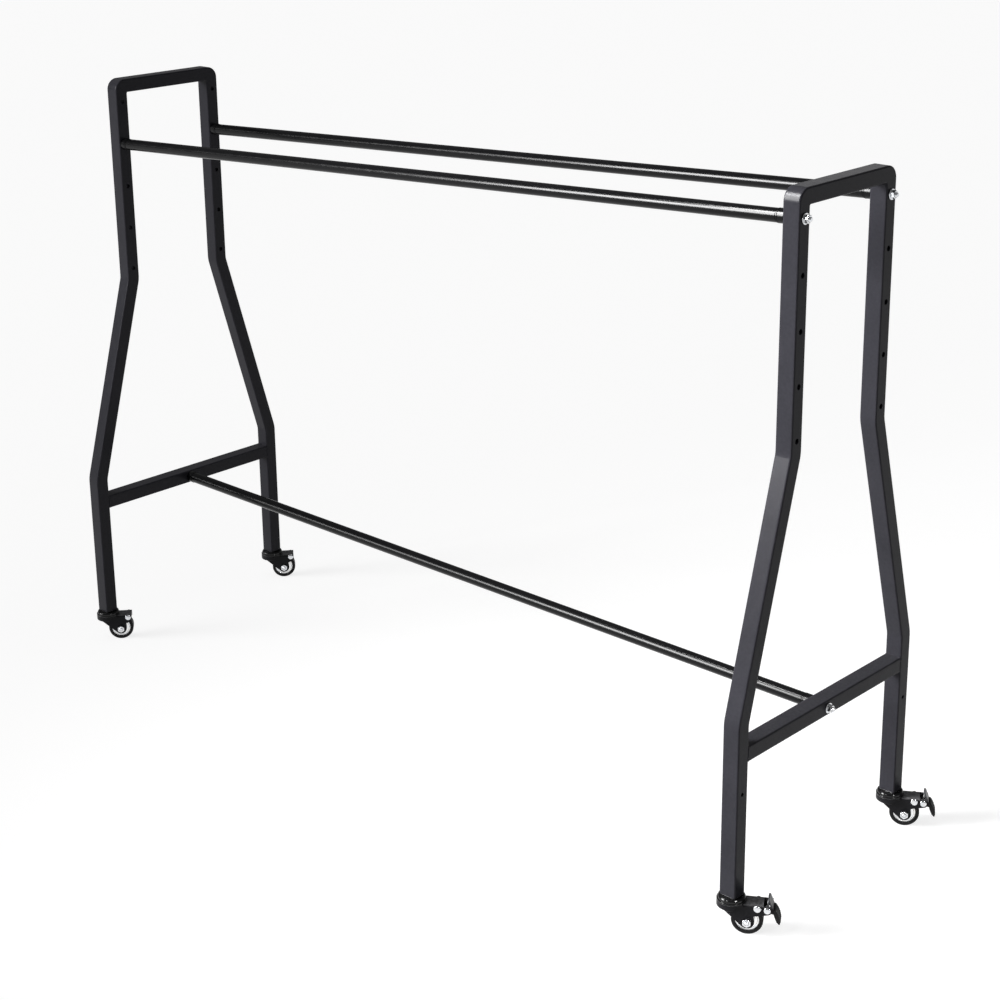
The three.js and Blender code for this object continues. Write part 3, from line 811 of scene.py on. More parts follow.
@dataclass(frozen=True)
class Plating(Finish):
    """Bright zinc or nickel: cloudy tint and fine straight scratches."""

    tint_scale: float = 180.0
    tint_share: float = 0.5
    cool_tint: Shade = (0.86, 0.90, 0.96, 1.0)
    warm_tint: Shade = (0.95, 0.92, 0.86, 1.0)
    scratch_scale: Colour = (300.0, 300.0, 6000.0)
    scratch_depth: float = 0.003

    def marked(self, canvas: Canvas, colour: Socket) -> Socket:
        """Adds a faint blue and straw tint in clouds.

        Args:
            canvas: the material's nodes.
            colour: the colour so far.

        Returns:
            The tinted colour.
        """
        cloud = canvas.ranged(canvas.noise(self.tint_scale), 0.0, 1.0)
        tint = canvas.blended(cloud, self.cool_tint, self.warm_tint)
        return canvas.blended(self.tint_share, colour, tint, "MULTIPLY")

    def relief(self, canvas: Canvas) -> Socket:
        """Adds stretched scratches to the grain.

        Args:
            canvas: the material's nodes.

        Returns:
            The bumped normal.
        """
        grain = super().relief(canvas)
        stretched = canvas.out("ShaderNodeMapping", {"Vector": canvas.spots, "Scale": self.scratch_scale})
        lines = canvas.noise(1.0, detail=2.0, spots=stretched)
        return canvas.bumped(lines, self.scratch_depth, Normal=grain)


@dataclass(frozen=True)
class SpunPlating(Plating):
    """Plating over turned metal, with fine rings about the axle."""

    ring_pitch: float = 0.35
    ring_depth: float = 0.01

    def relief(self, canvas: Canvas) -> Socket:
        """Adds the rings left by turning.

        Args:
            canvas: the material's nodes.

        Returns:
            The bumped normal.
        """
        grain = super().relief(canvas)
        radius = canvas.add("ShaderNodeAttribute", attribute_name=SPIN).outputs["Fac"]
        wave = canvas.math("SINE", canvas.math("MULTIPLY", radius, FULL_TURN / self.ring_pitch))
        return canvas.bumped(wave, self.ring_depth, Normal=grain)


@dataclass(frozen=True)
class Rubber(Finish):
    """Moulded rubber with a dusty tread."""

    tread_from: float = 20.2
    tread_to: float = 20.9
    tread_share: float = 0.35
    tread_scale: float = 420.0
    tread_colour: Shade = (0.12, 0.115, 0.11, 1.0)

    def marked(self, canvas: Canvas, colour: Socket) -> Socket:
        """Greys the part that rolls on the ground.

        Args:
            canvas: the material's nodes.
            colour: the colour so far.

        Returns:
            The colour with a dusty tread.
        """
        radius = canvas.add("ShaderNodeAttribute", attribute_name=SPIN).outputs["Fac"]
        tread = canvas.ranged(radius, 0.0, self.tread_share, self.tread_from, self.tread_to)
        patches = canvas.ranged(canvas.noise(self.tread_scale, detail=5.0), 0.2, 1.0)
        return canvas.blended(canvas.math("MULTIPLY", tread, patches), colour, self.tread_colour)


FRAME_PAINT = PowderCoat("slate_powder_coat", (0.031, 0.0305, 0.037), 0.23, specular=0.08)
RAIL_PAINT = PowderCoat(
    "gloss_black_coat", (0.0035, 0.0035, 0.004), 0.20, specular=0.16, grain_size=3.0, grain_depth=0.003,
    dust=0.01,
)
# Its large share of lighter top faces is painted light on the fork's top plate.
FORK_PAINT = PowderCoat(
    "satin_black_coat", (0.010, 0.0098, 0.0115), 0.34, specular=0.12, grain_size=0.8, grain_depth=0.015,
    dust=0.6,
)
HEAD_PAINT = PowderCoat(
    "gloss_head_coat", (0.005, 0.005, 0.0055), 0.15, specular=0.30, grain_size=0.8, grain_depth=0.006,
    dust=0.01,
)
# Its large edge gain and share paint a highlight along the pedal's edges.
PEDAL_PAINT = PowderCoat(
    "pedal_coat", (0.012, 0.012, 0.0135), 0.32, specular=0.15, grain_size=0.8, edge_gain=8.0,
    edge_share=0.8,
)
ZINC = Plating("bright_zinc", (0.76, 0.77, 0.79), 0.20, metallic=1.0, grain_size=0.5, grain_depth=0.004)
STEEL = Plating("polished_steel", (0.70, 0.71, 0.72), 0.12, metallic=1.0, grain_depth=0.003)
DISC = SpunPlating("spun_disc", (0.97, 0.97, 0.97), 0.22, metallic=0.9, grain_depth=0.003, ring_depth=0.004,
                   mottle=0.04)
TYRE = Rubber("tyre_rubber", (0.009, 0.009, 0.0095), 0.55, specular=0.2, grain_size=0.5, grain_depth=0.03)
PAD = Finish("pad_rubber", (0.009, 0.009, 0.0095), 0.5, specular=0.2, grain_size=0.4, grain_depth=0.03)
NYLON = Finish("moulded_nylon", (0.016, 0.016, 0.017), 0.28, specular=0.4, grain_size=0.6)


# Objects

@dataclass(frozen=True)
class Berth:
    """Where a piece belongs: its body, its slot and the CAD nodes that it stands for."""

    body: str
    slot: Slot
    nodes: tuple[str, ...] = ()


def object_of(name: str, skin: Skin, edges: Sequence[tuple[int, int]] = ()) -> bpy.types.Object:
    """Makes an object in metres from a skin, with doubled points merged and faces pointing outwards.

    Args:
        name: the object's name.
        skin: its points and faces in mm.
        edges: pairs of points that are joined where there are no faces.

    Returns:
        The object, in the scene.
    """
    mesh = bpy.data.meshes.new(name)
    mesh.from_pydata([point * MM for point in skin.points], edges, skin.faces)
    work = bmesh.new()
    work.from_mesh(mesh)
    bmesh.ops.remove_doubles(work, verts=work.verts, dist=MERGE_DISTANCE * MM)
    bmesh.ops.recalc_face_normals(work, faces=work.faces)
    work.to_mesh(mesh)
    work.free()
    made = bpy.data.objects.new(name, mesh)
    bpy.context.scene.collection.objects.link(made)
    return made


def mark(mesh: bpy.types.Mesh, name: str, values: Sequence[float]) -> None:
    """Writes one number on each point of a mesh."""
    layer = mesh.attributes.new(name, "FLOAT", "POINT")
    layer.data.foreach_set("value", values)


def points_host(name: str, spots: Sequence[Vector], headings: Sequence[float] = ()) -> bpy.types.Object:
    """Makes an object of loose points.

    Args:
        name: the object's name.
        spots: the points in mm.
        headings: the way that each point faces, or none if they all face along X.

    Returns:
        The object.
    """
    host = object_of(name, Skin(list(spots)))
    mark(host.data, HEADING, headings or [0.0] * len(spots))
    return host


def baked(made: bpy.types.Object) -> bpy.types.Object:
    """Turns an object's modifiers into its plain mesh.

    Args:
        made: the object.

    Returns:
        The same object.
    """
    graph = bpy.context.evaluated_depsgraph_get()
    mesh = bpy.data.meshes.new_from_object(
        made.evaluated_get(graph), preserve_all_data_layers=True, depsgraph=graph
    )
    made.modifiers.clear()
    made.data = mesh
    return made


def bevelled(made: bpy.types.Object, width: float, limit: float = BEVEL_ANGLE) -> bpy.types.Object:
    """Breaks the sharp edges of an object.

    Args:
        made: the object.
        width: the width of the bevel in mm.
        limit: the least angle in degrees between faces that counts as an edge.

    Returns:
        The same object with a plain mesh.
    """
    bevel = made.modifiers.new("edges", "BEVEL")
    bevel.width = width * MM
    bevel.segments = 3
    bevel.limit_method = "ANGLE"
    bevel.angle_limit = math.radians(limit)
    return baked(made)


def thickened(sheet: bpy.types.Object, thickness: float, edge: float) -> bpy.types.Object:
    """Gives an open sheet its thickness, half to each side, and breaks its edges.

    Args:
        sheet: the object.
        thickness: its thickness in mm.
        edge: the width of the bevel in mm.

    Returns:
        The same object with a closed mesh.
    """
    solid = sheet.modifiers.new("thickness", "SOLIDIFY")
    solid.thickness = thickness * MM
    solid.offset = 0.0
    solid.use_even_offset = True
    return bevelled(baked(sheet), edge, SHEET_BEVEL_ANGLE)


def united(first: bpy.types.Object, second: bpy.types.Object) -> bpy.types.Object:
    """Joins two closed objects.

    Args:
        first: the object that stays.
        second: the object that is joined to it and removed.

    Returns:
        The first object, as one closed mesh.
    """
    union = first.modifiers.new("union", "BOOLEAN")
    union.operation = "UNION"
    union.solver = "EXACT"
    union.object = second
    baked(first)
    bpy.data.objects.remove(second)
    return first


def mark_wear(mesh: bpy.types.Mesh) -> None:
    """Writes on each point how much it lies on an outer edge, for the finishes to read.

    Args:
        mesh: the finished mesh, whose edges are rounded by narrow faces.
    """
    broadest, shortest = 1.2 * MM, 0.001 * MM
    least_bend, bend_range = 7.0, 9.0
    work = bmesh.new()
    work.from_mesh(mesh)
    wear = []
    for vert in work.verts:
        widths = [
            face.calc_area() / max(shortest, *(edge.calc_length() for edge in face.edges))
            for face in vert.link_faces
        ]
        bends = [edge.calc_face_angle_signed(0.0) for edge in vert.link_edges if edge.is_manifold]
        sharpest = math.degrees(max(bends, default=0.0))
        share = min(1.0, max(0.0, (sharpest - least_bend) / bend_range))
        wear.append(0.0 if max(widths, default=1.0) > broadest else share)
    work.free()
    mark(mesh, EDGE_MASK, wear)


def mark_radius(mesh: bpy.types.Mesh, place: Matrix) -> None:
    """Writes on each point its distance in mm from the axle.

    Args:
        mesh: the mesh of a placed wheel.
        place: where the wheel was put.
    """
    back = place.inverted()
    spots = [back @ (vert.co / MM) for vert in mesh.vertices]
    mark(mesh, SPIN, [math.hypot(spot.x, spot.z) for spot in spots])


def dressed(made: bpy.types.Object, finish: Finish, berth: Berth, crease: float = CREASE) -> None:
    """Shades a finished mesh, gives it its finish and puts it on its body.

    Args:
        made: the object with its plain mesh.
        finish: the finish that it gets.
        berth: where it belongs.
        crease: the angle in degrees from which an edge is shaded sharp.
    """
    mesh = made.data
    mesh.materials.clear()
    mesh.materials.append(finish.material())
    mesh.shade_smooth()
    mesh.set_sharp_from_angle(angle=math.radians(crease))
    mark_wear(mesh)
    normals = made.modifiers.new("normals", "WEIGHTED_NORMAL")
    normals.keep_sharp = True
    baked(made)
    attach(made, berth.body)
    if berth.nodes:
        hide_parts(*berth.nodes)
    log.info("%s: %d faces on %s", made.name, len(made.data.polygons), berth.body)


def piece(name: str, skin: Skin, finish: Finish, berth: Berth, crease: float = CREASE) -> None:
    """Makes a visible piece straight from its skin."""
    dressed(object_of(name, skin), finish, berth, crease)


def set_out(
    host: bpy.types.Object, skin: Skin, finish: Finish, berth: Berth,
    spread: float = 0.0, seed: int = 0, crease: float = CREASE,
) -> None:
    """Turns an object of loose points into a piece, with the same shape on every point.

    Args:
        host: the points.
        skin: the shape.
        finish: the finish that the piece gets.
        berth: where it belongs.
        spread: the widest turn by chance of a copy about its own X axis.
        seed: the seed of those turns.
        crease: the angle in degrees from which an edge is shaded sharp.
    """
    shape = object_of("shape", skin)
    scatter_tree().run(host, Shape=shape, Spread=spread, Seed=seed, Finish=finish.material())
    bpy.data.objects.remove(shape)
    dressed(host, finish, berth, crease)


def cart_middle() -> Vector:
    """Finds the middle between the two end frames.

    Returns:
        The place in mm, at floor level.
    """
    corners = [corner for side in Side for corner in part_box(f"{side.label}_hoop")]
    xs = [corner.x for corner in corners]
    ys = [corner.y for corner in corners]
    return Vector(((min(xs) + max(xs)) / 2, (min(ys) + max(ys)) / 2, 0.0)) / MM


# End frames

@dataclass
class EndFrames:
    """The two bent end frames with their cross tubes, welds and leg inserts."""

    middle: Vector
    height: float = 965.0
    spacing: float = 1350.0
    depth: float = 25.0
    face: float = 22.0
    wall: float = 1.5
    corner: float = 2.2
    bore_corner: float = 0.7
    upper_spacing: float = 187.0
    lower_spacing: float = 372.0
    upper_bend: float = 629.0
    lower_bend: float = 295.0
    bend_radius: float = 40.0
    top_outer: float = 18.0
    top_inner: float = 2.0
    bottom: float = 54.0
    cross_height: float = 252.0
    hole: float = 7.0
    hole_count: int = 5
    hole_pitch: float = 70.0
    hole_top: float = 928.0
    hole_flare: float = 0.35
    drill_proud: float = 1.0
    drill_steps: int = 32
    spare_hole: float = 5.0
    spare_height: float = 199.5
    bead: float = 1.25
    bead_pitch: float = 1.5
    bead_sunk: float = 0.45
    bead_seed: int = 4
    insert_flange: float = 1.2
    insert_gap: float = 0.3
    insert_depth: float = 26.0
    insert_soft: float = 0.35
    insert_corner: float = 0.8
    insert_ribs: int = 4
    support: float = 0.5

    def along(self, side: Side) -> float:
        """Gives an end frame's place along the cart."""
        return self.middle.x + side.value * self.spacing / 2

    def spots(self, across: float, up: float) -> list[Vector]:
        """Gives a place at each of the four legs, by its distance from the middle and its height."""
        ends = [(side.value * self.spacing / 2, end.value * across) for side in Side for end in Reach]
        return [self.middle + Vector((x, y, up)) for x, y in ends]

    @property
    def cross_reach(self) -> float:
        """The distance from the middle to either end of a cross tube."""
        return (self.lower_spacing - self.face) / 2

    def sections(self) -> list[list[Vector]]:
        """Gives the section of the square tube.

        Returns:
            The points of its outside and then of its bore.
        """
        sizes = ((0.0, self.corner), (2 * self.wall, self.bore_corner))
        return [
            rectangle(self.depth - thin, self.face - thin, corner, support=self.support)
            for thin, corner in sizes
        ]

    def outline(self, offset: float, top_radius: float) -> list[Vector]:
        """Gives one long edge of the bent tube, from one leg end over the top to the other.

        Args:
            offset: the distance outwards from the middle of the tube.
            top_radius: the radius of the two top corners.

        Returns:
            The points across and up.
        """
        splay = math.atan2((self.lower_spacing - self.upper_spacing) / 2, self.upper_bend - self.lower_bend)
        mitre = offset * math.tan(splay / 2)
        lower = self.lower_spacing / 2 + offset
        upper = self.upper_spacing / 2 + offset
        side = [
            (lower, self.bottom, 0.0),
            (lower, self.lower_bend + mitre, self.bend_radius + offset),
            (upper, self.upper_bend + mitre, self.bend_radius - offset),
            (upper, self.height - self.face / 2 + offset, top_radius),
        ]
        mirrored = [(-across, up, radius) for across, up, radius in side]
        return softened(mirrored + side[::-1], closed=False, steps=14)

    def bent(self, section: Sequence[Vector], along: float) -> list[list[Vector]]:
        """Carries a section of the tube round the whole hoop.

        Args:
            section: the points of the section.
            along: the hoop's place along the cart.

        Returns:
            The rings of points, from one leg end over the top to the other.
        """
        half = self.face / 2
        rings = []
        for out, inn in zip(self.outline(half, self.top_outer), self.outline(-half, self.top_inner)):
            away = (out - inn).normalized()
            ring = []
            for spot in section:
                rest = half - abs(spot.y)
                base = out - away * rest if spot.y > 0 else inn + away * rest
                ring.append(Vector((along + spot.x, self.middle.y + base.x, base.y)))
            rings.append(ring)
        return rings

    def hoop_skin(self, along: float) -> Skin:
        """Makes the bent tube at a place along the cart."""
        shell, bore = (self.bent(section, along) for section in self.sections())
        return loft(shell + bore[::-1], looped=True)

    def drill(self, diameter: float, low: float, high: float) -> bpy.types.Object:
        """Makes a drill along X that also breaks the edges of its hole.

        Args:
            diameter: the hole's diameter.
            low: where the drill starts, from the middle of the tube.
            high: where it ends.

        Returns:
            The drill, to be removed after its use.
        """
        radius = diameter / 2
        face, proud, flare = self.depth / 2, self.drill_proud, self.hole_flare
        wide = radius + flare + proud
        profile = [(0.0, low)]
        profile += [(wide, -face - proud), (radius, -face + flare)] if low < 0 else [(radius, low)]
        profile += [(radius, face - flare), (wide, face + proud)] if high > 0 else [(radius, high)]
        profile.append((0.0, high))
        return object_of("drill", turned(profile, self.drill_steps).placed(along_x()))

    def build_hoop(self, side: Side) -> None:
        """Makes one bent tube with its bolt holes and the spare hole in each outer face.

        Args:
            side: the end of the cart.
        """
        along = self.along(side)
        hoop = object_of(f"{side.label}_bent_tube", self.hoop_skin(along))
        reach = self.depth / 2 + self.drill_proud
        outer = (0.0, reach) if side is Side.RIGHT else (-reach, 0.0)
        for diameter, ends, count, spacing, top in (
            (self.hole, (-reach, reach), self.hole_count, self.upper_spacing, self.hole_top),
            (self.spare_hole, outer, 1, self.lower_spacing, self.spare_height),
        ):
            drill = self.drill(diameter, *ends)
            hole_row_tree().run(
                hoop, Drill=drill, Count=count, Pitch=self.hole_pitch * MM, Spacing=spacing * MM,
                Top=top * MM, Along=along * MM, Across=self.middle.y * MM, Finish=FRAME_PAINT.material(),
            )
            bpy.data.objects.remove(drill)
        dressed(hoop, FRAME_PAINT, Berth("frame", Slot.FRAME, (f"{side.label}_hoop",)))

    def build_cross_tube(self, side: Side) -> None:
        """Makes one level tube between the lower legs.

        Args:
            side: the end of the cart.
        """
        along, reach = self.along(side), self.cross_reach
        rings = [
            [Vector((along + spot.x, self.middle.y + across, self.cross_height + spot.y)) for spot in section]
            for section, ends in zip(self.sections(), ((-reach, reach), (reach, -reach)))
            for across in ends
        ]
        berth = Berth("frame", Slot.FRAME, (f"{side.label}_cross_tube",))
        piece(f"{side.label}_level_tube", loft(rings, looped=True), FRAME_PAINT, berth)

    def build_welds(self) -> None:
        """Lays the four beads where the cross tubes meet the legs."""
        host = points_host("weld_beads", self.spots(self.cross_reach, self.cross_height))
        sunk = 2 * self.bead * self.bead_sunk
        weld_tree().run(
            host, Width=(self.depth - sunk) * MM, Height=(self.face - sunk) * MM,
            Corner=self.corner * MM, Pitch=self.bead_pitch * MM, Bead=self.bead * MM,
            Seed=self.bead_seed, Finish=FRAME_PAINT.material(),
        )
        dressed(host, FRAME_PAINT, Berth("frame", Slot.FRAME))

    def insert_skin(self) -> Skin:
        """Makes one leg insert: a flange under the tube and a ribbed body inside it.

        Returns:
            The closed skin about the middle of the leg.
        """
        soft, thin, shoulder = self.insert_soft, 0.1, 0.8
        rib_height, rib_lead, rib_back, taper = 1.0, 1.5, 0.8, 1.6
        top = self.bottom - self.insert_gap
        low = top - self.insert_flange
        slack = -2 * (self.wall + self.insert_gap)
        core = slack - rib_height
        levels = [
            (low, -2 * soft), (low + thin, -shoulder * soft), (low + soft, 0.0), (top - soft, 0.0),
            (top, -2 * soft), (top + thin, core),
        ]
        for i in range(self.insert_ribs):
            rise = top + (i + 1) * self.insert_depth / (self.insert_ribs + 1)
            levels += [(rise - rib_lead, core), (rise, slack), (rise + rib_back, core)]
        levels.append((top + self.insert_depth, slack - taper))
        rings = []
        for level, trim in levels:
            corner = self.corner + trim / 4 + self.insert_corner
            section = rectangle(self.depth + trim, self.face + trim, corner, steps=5)
            rings.append([Vector((spot.x, spot.y, level)) for spot in section])
        return loft(rings, capped=True)

    def build_inserts(self) -> None:
        """Puts an insert into each leg end."""
        host = points_host("leg_inserts", self.spots(self.lower_spacing / 2, 0.0))
        nodes = tuple(f"leg_plug_{end.label}_{side.label}" for side in Side for end in Reach)
        set_out(host, self.insert_skin(), NYLON, Berth("frame", Slot.PLUG, nodes))

    def build(self) -> None:
        """Makes both end frames."""
        for side in Side:
            self.build_hoop(side)
            self.build_cross_tube(side)
        self.build_welds()
        self.build_inserts()


# Rails

@dataclass(frozen=True)
class RailRun:
    """One rail: its name and where its two ends are bolted."""

    name: str
    across: float
    left_height: float
    right_height: float


@dataclass
class Rails:
    """The three rails with their collars, studs, washers and nuts."""

    middle: Vector
    spacing: float = 1350.0
    frame_depth: float = 25.0
    gap: float = 0.3
    diameter: float = 18.0
    wall: float = 1.5
    end_edge: float = 0.5
    bore_edge: float = 0.2
    end_support: float = 0.6
    collar: float = 19.0
    collar_length: float = 12.0
    collar_groove: float = 0.45
    collar_band: float = 2.4
    spigot: float = 1.0
    stud: float = 6.0
    stud_proud: float = 3.0
    stud_sunk: float = 2.0
    washer: float = 14.5
    washer_thickness: float = 1.6
    washer_edge: float = 0.35
    washer_steps: int = 48
    nut_flats: float = 10.0
    nut_thickness: float = 5.0
    nut_play: float = 0.1
    nut_seed: int = 11
    steps: int = 72
    runs: tuple[RailRun, ...] = (
        RailRun("front", -93.5, 858.0, 928.0),
        RailRun("rear", 93.5, 858.0, 928.0),
        RailRun("lower", 0.0, 252.0, 252.0),
    )

    def ends(self, run: RailRun) -> tuple[Vector, Vector]:
        """Gives the places where a rail's middle line meets the middles of the frames.

        Args:
            run: the rail.

        Returns:
            The left and the right place.
        """
        half = self.spacing / 2
        return (
            self.middle + Vector((-half, run.across, run.left_height)),
            self.middle + Vector((half, run.across, run.right_height)),
        )

    def nodes(self, kind: str) -> tuple[str, ...]:
        """Gives the names of one kind of CAD node at the six rail ends."""
        return tuple(f"{run.name}_rail_{kind}_{side.label}" for run in self.runs for side in Side)

    def build_tube(self, run: RailRun) -> None:
        """Makes the straight tube of a rail.

        Args:
            run: the rail.
        """
        left, right = self.ends(run)
        spent = 2 * (self.frame_depth / 2 + self.collar_length + 2 * self.gap)
        far = ((right - left).length - spent) / 2
        outer, inner = self.diameter / 2, self.diameter / 2 - self.wall
        corners = [
            (outer, -far, self.end_edge), (outer, far, self.end_edge),
            (inner, far, self.bore_edge), (inner, -far, self.bore_edge),
        ]
        profile = softened(corners, steps=4, support=self.end_support)
        place = pointed((left + right) / 2, right - left)
        skin = turned(profile, self.steps, closed=True).placed(place)
        piece(f"{run.name}_round_tube", skin, RAIL_PAINT, Berth("frame", Slot.RAIL, (f"{run.name}_rail",)))

    def collar_skin(self, start: Vector, slope: Vector) -> Skin:
        """Makes the collar between a frame and a rail's end, cut square to the frame.

        Args:
            start: where the rail's middle line meets the middle of the frame.
            slope: the direction of the rail, away from the frame.

        Returns:
            The closed skin.
        """
        near = self.frame_depth / 2 + self.gap
        far = near + self.collar_length
        outer, inner = self.collar / 2, self.diameter / 2 - self.wall
        groove = self.collar_groove
        seat = far - self.collar_band
        profile = [
            (0.0, near), (outer - groove, near), (outer, near + groove), (outer, seat - 2 * groove),
            (outer - groove, seat - groove), (outer - groove, seat), (outer, seat + groove),
            (outer, far - groove), (outer - groove, far), (inner, far),
            (inner - self.gap, far + self.spigot), (0.0, far + self.spigot),
        ]
        body = turned(profile, self.steps).placed(pointed(start, slope))
        face = start.x + math.copysign(near, slope.x)
        for point in body.points[: 3 * self.steps]:
            behind = abs(point.x - start.x) > near + groove / 2
            wanted = face + math.copysign(groove, slope.x) if behind else face
            point += slope * ((wanted - point.x) / slope.x)
        return body

    def build_collars(self) -> None:
        """Makes the collars of all the rail ends."""
        collars = Skin()
        for run in self.runs:
            left, right = self.ends(run)
            slope = (right - left).normalized()
            collars = collars.plus(self.collar_skin(left, slope), self.collar_skin(right, -slope))
        piece("rail_collars", collars, RAIL_PAINT, Berth("frame", Slot.RAIL, self.nodes("stud")))

    def build_fittings(self) -> None:
        """Makes the studs, washers and nuts of all the rail ends."""
        starts = [end for run in self.runs for end in self.ends(run)]
        headings = [math.pi, 0.0] * len(self.runs)
        face = self.frame_depth / 2 + self.gap
        seat = face + self.washer_thickness
        top = seat + self.nut_thickness
        bore, rim = self.stud / 2 + self.nut_play, self.washer / 2
        corners = ((bore, face), (rim, face), (rim, seat), (bore, seat))
        washer = softened([(*corner, self.washer_edge) for corner in corners], steps=4)
        hexagon = Hexagon(self.nut_flats, seat, top, bore)
        rod = Thread(self.stud, -face - self.stud_sunk, top + self.stud_proud)
        for name, skin, kind, spread in (
            ("rail_studs", rod.skin(), "stud", 0.0),
            ("rail_washers", turned(washer, self.washer_steps, closed=True), "nut", 0.0),
            ("rail_nuts", hexagon.skin(), "nut", FULL_TURN / 6),
        ):
            host = points_host(name, starts, headings)
            berth = Berth("frame", Slot.ZINC, self.nodes(kind))
            set_out(host, skin.placed(along_x()), ZINC, berth, spread, self.nut_seed, HEX_CREASE)

    def build(self) -> None:
        """Makes the rails."""
        for run in self.runs:
            self.build_tube(run)
        self.build_collars()
        self.build_fittings()


# Casters

@dataclass(frozen=True)
class Stand:
    """Where one caster stands and how it is turned."""

    name: str
    place: Matrix
    braked: bool
    pedal_pin: tuple[float, float] = (46.8, 39.7)

    def at(self, reach: float, height: float) -> Matrix:
        """Gives a place in the caster, by its reach along the trail and its height."""
        return self.place @ Matrix.Translation((reach, 0.0, height))

    def berth(self, part: str, slot: Slot, node: str) -> Berth:
        """Gives the berth of a piece on the caster's swivel, wheel or pedal."""
        return Berth(f"{part}_{self.name}", slot, (f"{node}_{self.name}",))


def stands() -> list[Stand]:
    """Reads the four casters' places and headings from the frame's joints.

    Returns:
        The four casters, by side of the cart and then by end.
    """
    joints = {joint["name"]: joint for joint in frame["joints"]}
    found = []
    for side in Side:
        for end in Reach:
            name = f"{end.label}_{side.label}"
            x, y, _ = joints[f"swivel_turn_{name}"]["pos_m"]
            axle = joints[f"wheel_spin_{name}"]["axis"]
            heading = math.atan2(-axle[0], axle[1])
            place = Matrix.Translation((x / MM, y / MM, 0.0)) @ Matrix.Rotation(heading, 4, "Z")
            found.append(Stand(name, place, f"pedal_{name}" in frame["bodies"]))
    return found


@dataclass
class SwivelHeads:
    """The domed upper races with their stems, and the bearing beads that they run on."""

    head: float = 39.4
    lip: float = 2.1
    groove: float = 36.8
    shoulder: float = 36.6
    shoulder_rise: float = 4.8
    top: float = 33.8
    race_floor: float = 45.4
    race: float = 28.0
    race_play: float = 0.4
    bead: float = 2.6
    bead_count: int = 30
    leg_bottom: float = 54.0
    flange_drop: float = 1.8
    stem: float = 10.0
    stem_insertion: float = 21.0
    stem_head: float = 14.0
    stem_head_top: float = 42.7
    stem_head_thickness: float = 3.0
    steps: int = 96

    def dome_skin(self) -> Skin:
        """Makes the stem and the dome as one turned body.

        Returns:
            The closed skin, which stands along Z.
        """
        floor = self.race_floor
        dome_top = self.leg_bottom - self.flange_drop
        inner = (self.race - self.bead) / 2 - self.race_play
        outer = (self.race + self.bead) / 2 + self.race_play
        roof = floor + self.bead + self.race_play
        stem = self.stem / 2
        low = self.stem_head_top - self.stem_head_thickness
        corners = [
            (0.0, low, 0.0),
            (self.stem_head / 2, low, 0.7),
            (self.stem_head / 2, self.stem_head_top, 0.2),
            (stem, self.stem_head_top, 0.0),
            (stem, floor, 0.0),
            (inner, floor, 0.2),
            (inner, roof, 1.0),
            (outer, roof, 1.0),
            (outer, floor, 0.2),
            (self.head / 2, floor, 0.45),
            (self.head / 2, floor + self.lip, 1.3),
            (self.groove / 2, floor + self.lip, 0.3),
            (self.shoulder / 2, floor + self.shoulder_rise, 2.6),
            (self.top / 2, dome_top, 1.3),
            (stem, dome_top, 0.0),
            (stem, dome_top + self.stem_insertion, 1.0),
            (0.0, dome_top + self.stem_insertion, 0.0),
        ]
        return turned(softened(corners, closed=False, steps=4), self.steps).placed(along_z())

    def build(self, places: Sequence[Stand]) -> None:
        """Puts a dome and its bearing on each caster.

        Args:
            places: the four casters.
        """
        spots = [stand.place.translation for stand in places]
        domes = tuple(f"caster_stem_{stand.name}" for stand in places)
        host = points_host("swivel_domes", spots)
        set_out(host, self.dome_skin(), HEAD_PAINT, Berth("frame", Slot.FORK, domes))
        centre = Vector((0.0, 0.0, self.race_floor + self.bead / 2))
        beads = points_host("race_balls", [spot + centre for spot in spots])
        bearing_tree().run(
            beads, Ring=self.race / 2 * MM, Bead=self.bead / 2 * MM, Count=self.bead_count,
            Finish=STEEL.material(),
        )
        rings = tuple(f"bearing_ring_{stand.name}" for stand in places)
        dressed(beads, STEEL, Berth("frame", Slot.ZINC, rings))


